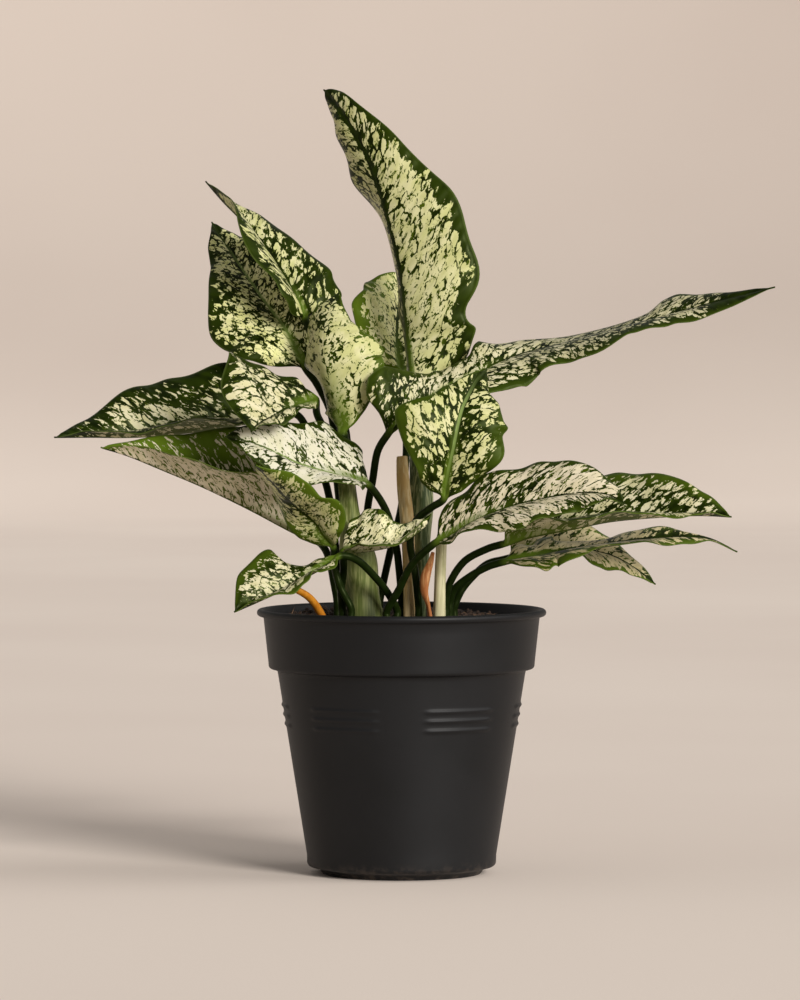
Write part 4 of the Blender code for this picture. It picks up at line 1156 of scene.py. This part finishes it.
# Those that stand up: from, to and thickness in millimetres
STANDING_TWIGS = (
    ((-47, -14, 104.2), (-44, -14, 111.5), 0.45),
    ((-45.5, -14, 104.4), (-45.2, -14, 107.5), 0.3),
    ((31, -18, 104.0), (29.5, -18, 108.9), 0.30),
    ((34.5, -18, 104.0), (31.5, -18, 105.8), 0.35),
)


def add_twig(bm, start, end, thick):
    """A tapered sliver between two points."""
    run = end - start
    turn = run.to_track_quat("Z", "Y").to_matrix().to_4x4()
    place = Matrix.Translation((start + end) / 2) @ turn
    bmesh.ops.create_cone(bm, cap_ends=True, segments=5, radius1=thick,
                          radius2=thick * 0.35, depth=run.length, matrix=place)


bm = bmesh.new()
for twig in range(TWIGS):
    x, y = random_spot(TWIG_REACH)
    long = draw.uniform(1.5, 7.0) * MM
    heading = draw.uniform(0, 2 * math.pi)
    start = Vector((x, y, soil_height(x, y) + 0.4 * MM))
    lift = draw.uniform(-0.05, 0.25) * long
    end = start + Vector((long * math.cos(heading), long * math.sin(heading), lift))
    if math.hypot(end.x, end.y) < CRUMB_REACH:
        add_twig(bm, start, end, draw.uniform(0.12, 0.4) * MM)
for start, end, thick in STANDING_TWIGS:
    add_twig(bm, Vector(start) * MM, Vector(end) * MM, thick * MM)
twigs = add_piece("soil_fibres", bm, bark)
print("fibre faces:", len(twigs.data.polygons))

# %% [markdown]
# ## The nursery pot
#
# A thrown-away grower's pot is thin blown plastic: a rolled bead at the rim, a collar to
# stack on, a tapered wall with three grip lines in six groups, and a base with a foot
# ring and drain holes. It is round, so it is turned from one profile. The measured solid
# has so few sides that they would show as corners against the paper, so the profile is
# turned again in many more steps.

# %% Pot profile
# Two (radius, height) points each, in millimetres
WALL = ((39.1, 6.5), (51.5, 84.4))
COLLAR = ((55.2, 87.4), (57.3, 106.8))
GRIP_FROM, GRIP_TO = 58.0, 75.0


def radius_on(line, height):
    """The radius at a height on a straight line between two points."""
    (low_radius, low), (high_radius, high) = line
    return low_radius + (height - low) / (high - low) * (high_radius - low_radius)


def arc(centre, radius, start, stop, steps):
    """Points on an arc of the profile, with its angles in degrees."""
    turns = [math.radians(start + (stop - start) * k / steps) for k in range(steps + 1)]
    return [(centre[0] + radius * math.cos(t), centre[1] + radius * math.sin(t)) for t in turns]


profile = [(0, 0), (8.6, 0), (9.2, 0.3), (10.0, 1.2), (29.9, 1.2)]
profile += [(30.4, 0.9), (30.8, 0.0), (32.6, 0)]
profile += arc((32.6, 0.5), 0.5, -90, -20, 3) + [(34.0, 1.7), (34.6, 2.1)]
profile += [(37.2, 2.9)] + arc((37.3, 4.9), 1.95, -75, -8, 6)
profile += [(radius_on(WALL, h), h) for h in (8, 16, 26, 36, 46, 54)]
profile += [(radius_on(WALL, h), h) for h in np.linspace(GRIP_FROM, GRIP_TO, 52)]
profile += [(radius_on(WALL, h), h) for h in (79, 82.5)]
profile += [(51.5, 84.0), (51.9, 84.5), (53.6, 85.0)] + arc((53.7, 86.5), 1.45, -80, -5, 5)
profile += [(radius_on(COLLAR, h), h) for h in (88.0, 92, 97, 102, 106.0)]
profile += arc((58.5, 108.3), 1.5, -120, 170, 14)
profile += [(56.1, 106.6), (54.1, 87.6), (50.35, 83.4), (37.9, 6.5), (33.3, 2.8), (0, 2.8)]
print("profile points:", len(profile))

# %% Turn the pot and raise its grip lines
GRIPS = (70.1, 66.2, 62.2)
GRIP_RISE = 0.60
GRIP_WIDTH = 0.85
GROUP_TURN = 60
GROUP_REACH, GROUP_FADE = 19.5, 3.0
bm = turned_skin([(reach * MM, height * MM) for reach, height in profile], steps=216)
raised = 0
for vert in bm.verts:
    height = vert.co.z / MM
    reach = math.hypot(vert.co.x, vert.co.y) / MM
    if not GRIP_FROM < height < GRIP_TO or reach < radius_on(WALL, height) - 0.2:
        continue
    turn = math.degrees(math.atan2(vert.co.x, -vert.co.y)) % GROUP_TURN
    off_middle = abs(turn - GROUP_TURN / 2)
    fade = smooth_step(min(1.0, max(0.0, (GROUP_REACH - off_middle) / GROUP_FADE)))
    near = sum(math.exp(-(((height - grip) / GRIP_WIDTH) ** 2)) for grip in GRIPS)
    scale = (reach + GRIP_RISE * fade * near) / reach
    vert.co.x *= scale
    vert.co.y *= scale
    raised += fade > 0
print("raised points:", raised)

# %% The pot's plastic
PLASTIC = ((0.0050, 0.0052, 0.0058), (0.0068, 0.0070, 0.0078))
DUST = (0.20, 0.17, 0.14)
FOOT_DUST = (0.16, 0.12, 0.09)
plastic, tree, shader = new_finish("black_plastic")
place = object_place(tree)
cloud = noise_value(tree, place, 28.0, detail=3.0)
grain = noise_value(tree, place, 2600.0, detail=2.0, rough=0.6)
dust = noise_value(tree, place, 240.0, detail=5.0, rough=0.75)
colour = blend(tree, cloud, 0.35, 0.65, *PLASTIC)
colour = blend(tree, dust, 0.66, 0.78, colour, DUST, 0.0, 0.07)
low = new_node(tree, "SeparateXYZ", {0: place}).outputs[2]
at_foot = ramp(tree, low, 0.0, 0.008, 1.0, 0.0)
at_foot = maths(tree, "MULTIPLY", at_foot, ramp(tree, dust, 0.45, 0.62, 0.0, 0.25))
fill(tree, shader, {
    "Base Color": mix_colours(tree, at_foot, colour, FOOT_DUST),
    "Roughness": add_part(tree, 0.44, cloud, 0.12),
    "Specular IOR Level": 0.23,
    "Normal": bump(tree, strength=0.18, distance=0.00012, height=grain),
})
pot = add_piece("pot_shell", bm, plastic, node="pot", smooth_angle=40)
print("pot faces before drilling:", len(pot.data.polygons))

# %% Drain holes
DRAINS = 6
DRAIN_REACH = 20 * MM
DRAIN_RADIUS = 4 * MM
DRAIN_HEIGHT, DRAIN_DEPTH = 3 * MM, 10 * MM
bm = bmesh.new()
for hole in range(DRAINS):
    turn = 2 * math.pi * (hole + 0.5) / DRAINS
    spot = (DRAIN_REACH * math.cos(turn), DRAIN_REACH * math.sin(turn), DRAIN_HEIGHT)
    bmesh.ops.create_cone(bm, cap_ends=True, segments=32, radius1=DRAIN_RADIUS,
                          radius2=DRAIN_RADIUS, depth=DRAIN_DEPTH,
                          matrix=Matrix.Translation(spot))
cutter_mesh = bpy.data.meshes.new("drain_cutters")
bm.to_mesh(cutter_mesh)
bm.free()
cutter = bpy.data.objects.new("drain_cutters", cutter_mesh)
scene.collection.objects.link(cutter)
modifier = pot.modifiers.new("drains", "BOOLEAN")
modifier.operation = "DIFFERENCE"
modifier.object = cutter
bpy.context.view_layer.objects.active = pot
bpy.ops.object.modifier_apply(modifier=modifier.name)
bpy.data.objects.remove(cutter, do_unlink=True)
print("pot faces:", len(pot.data.polygons))
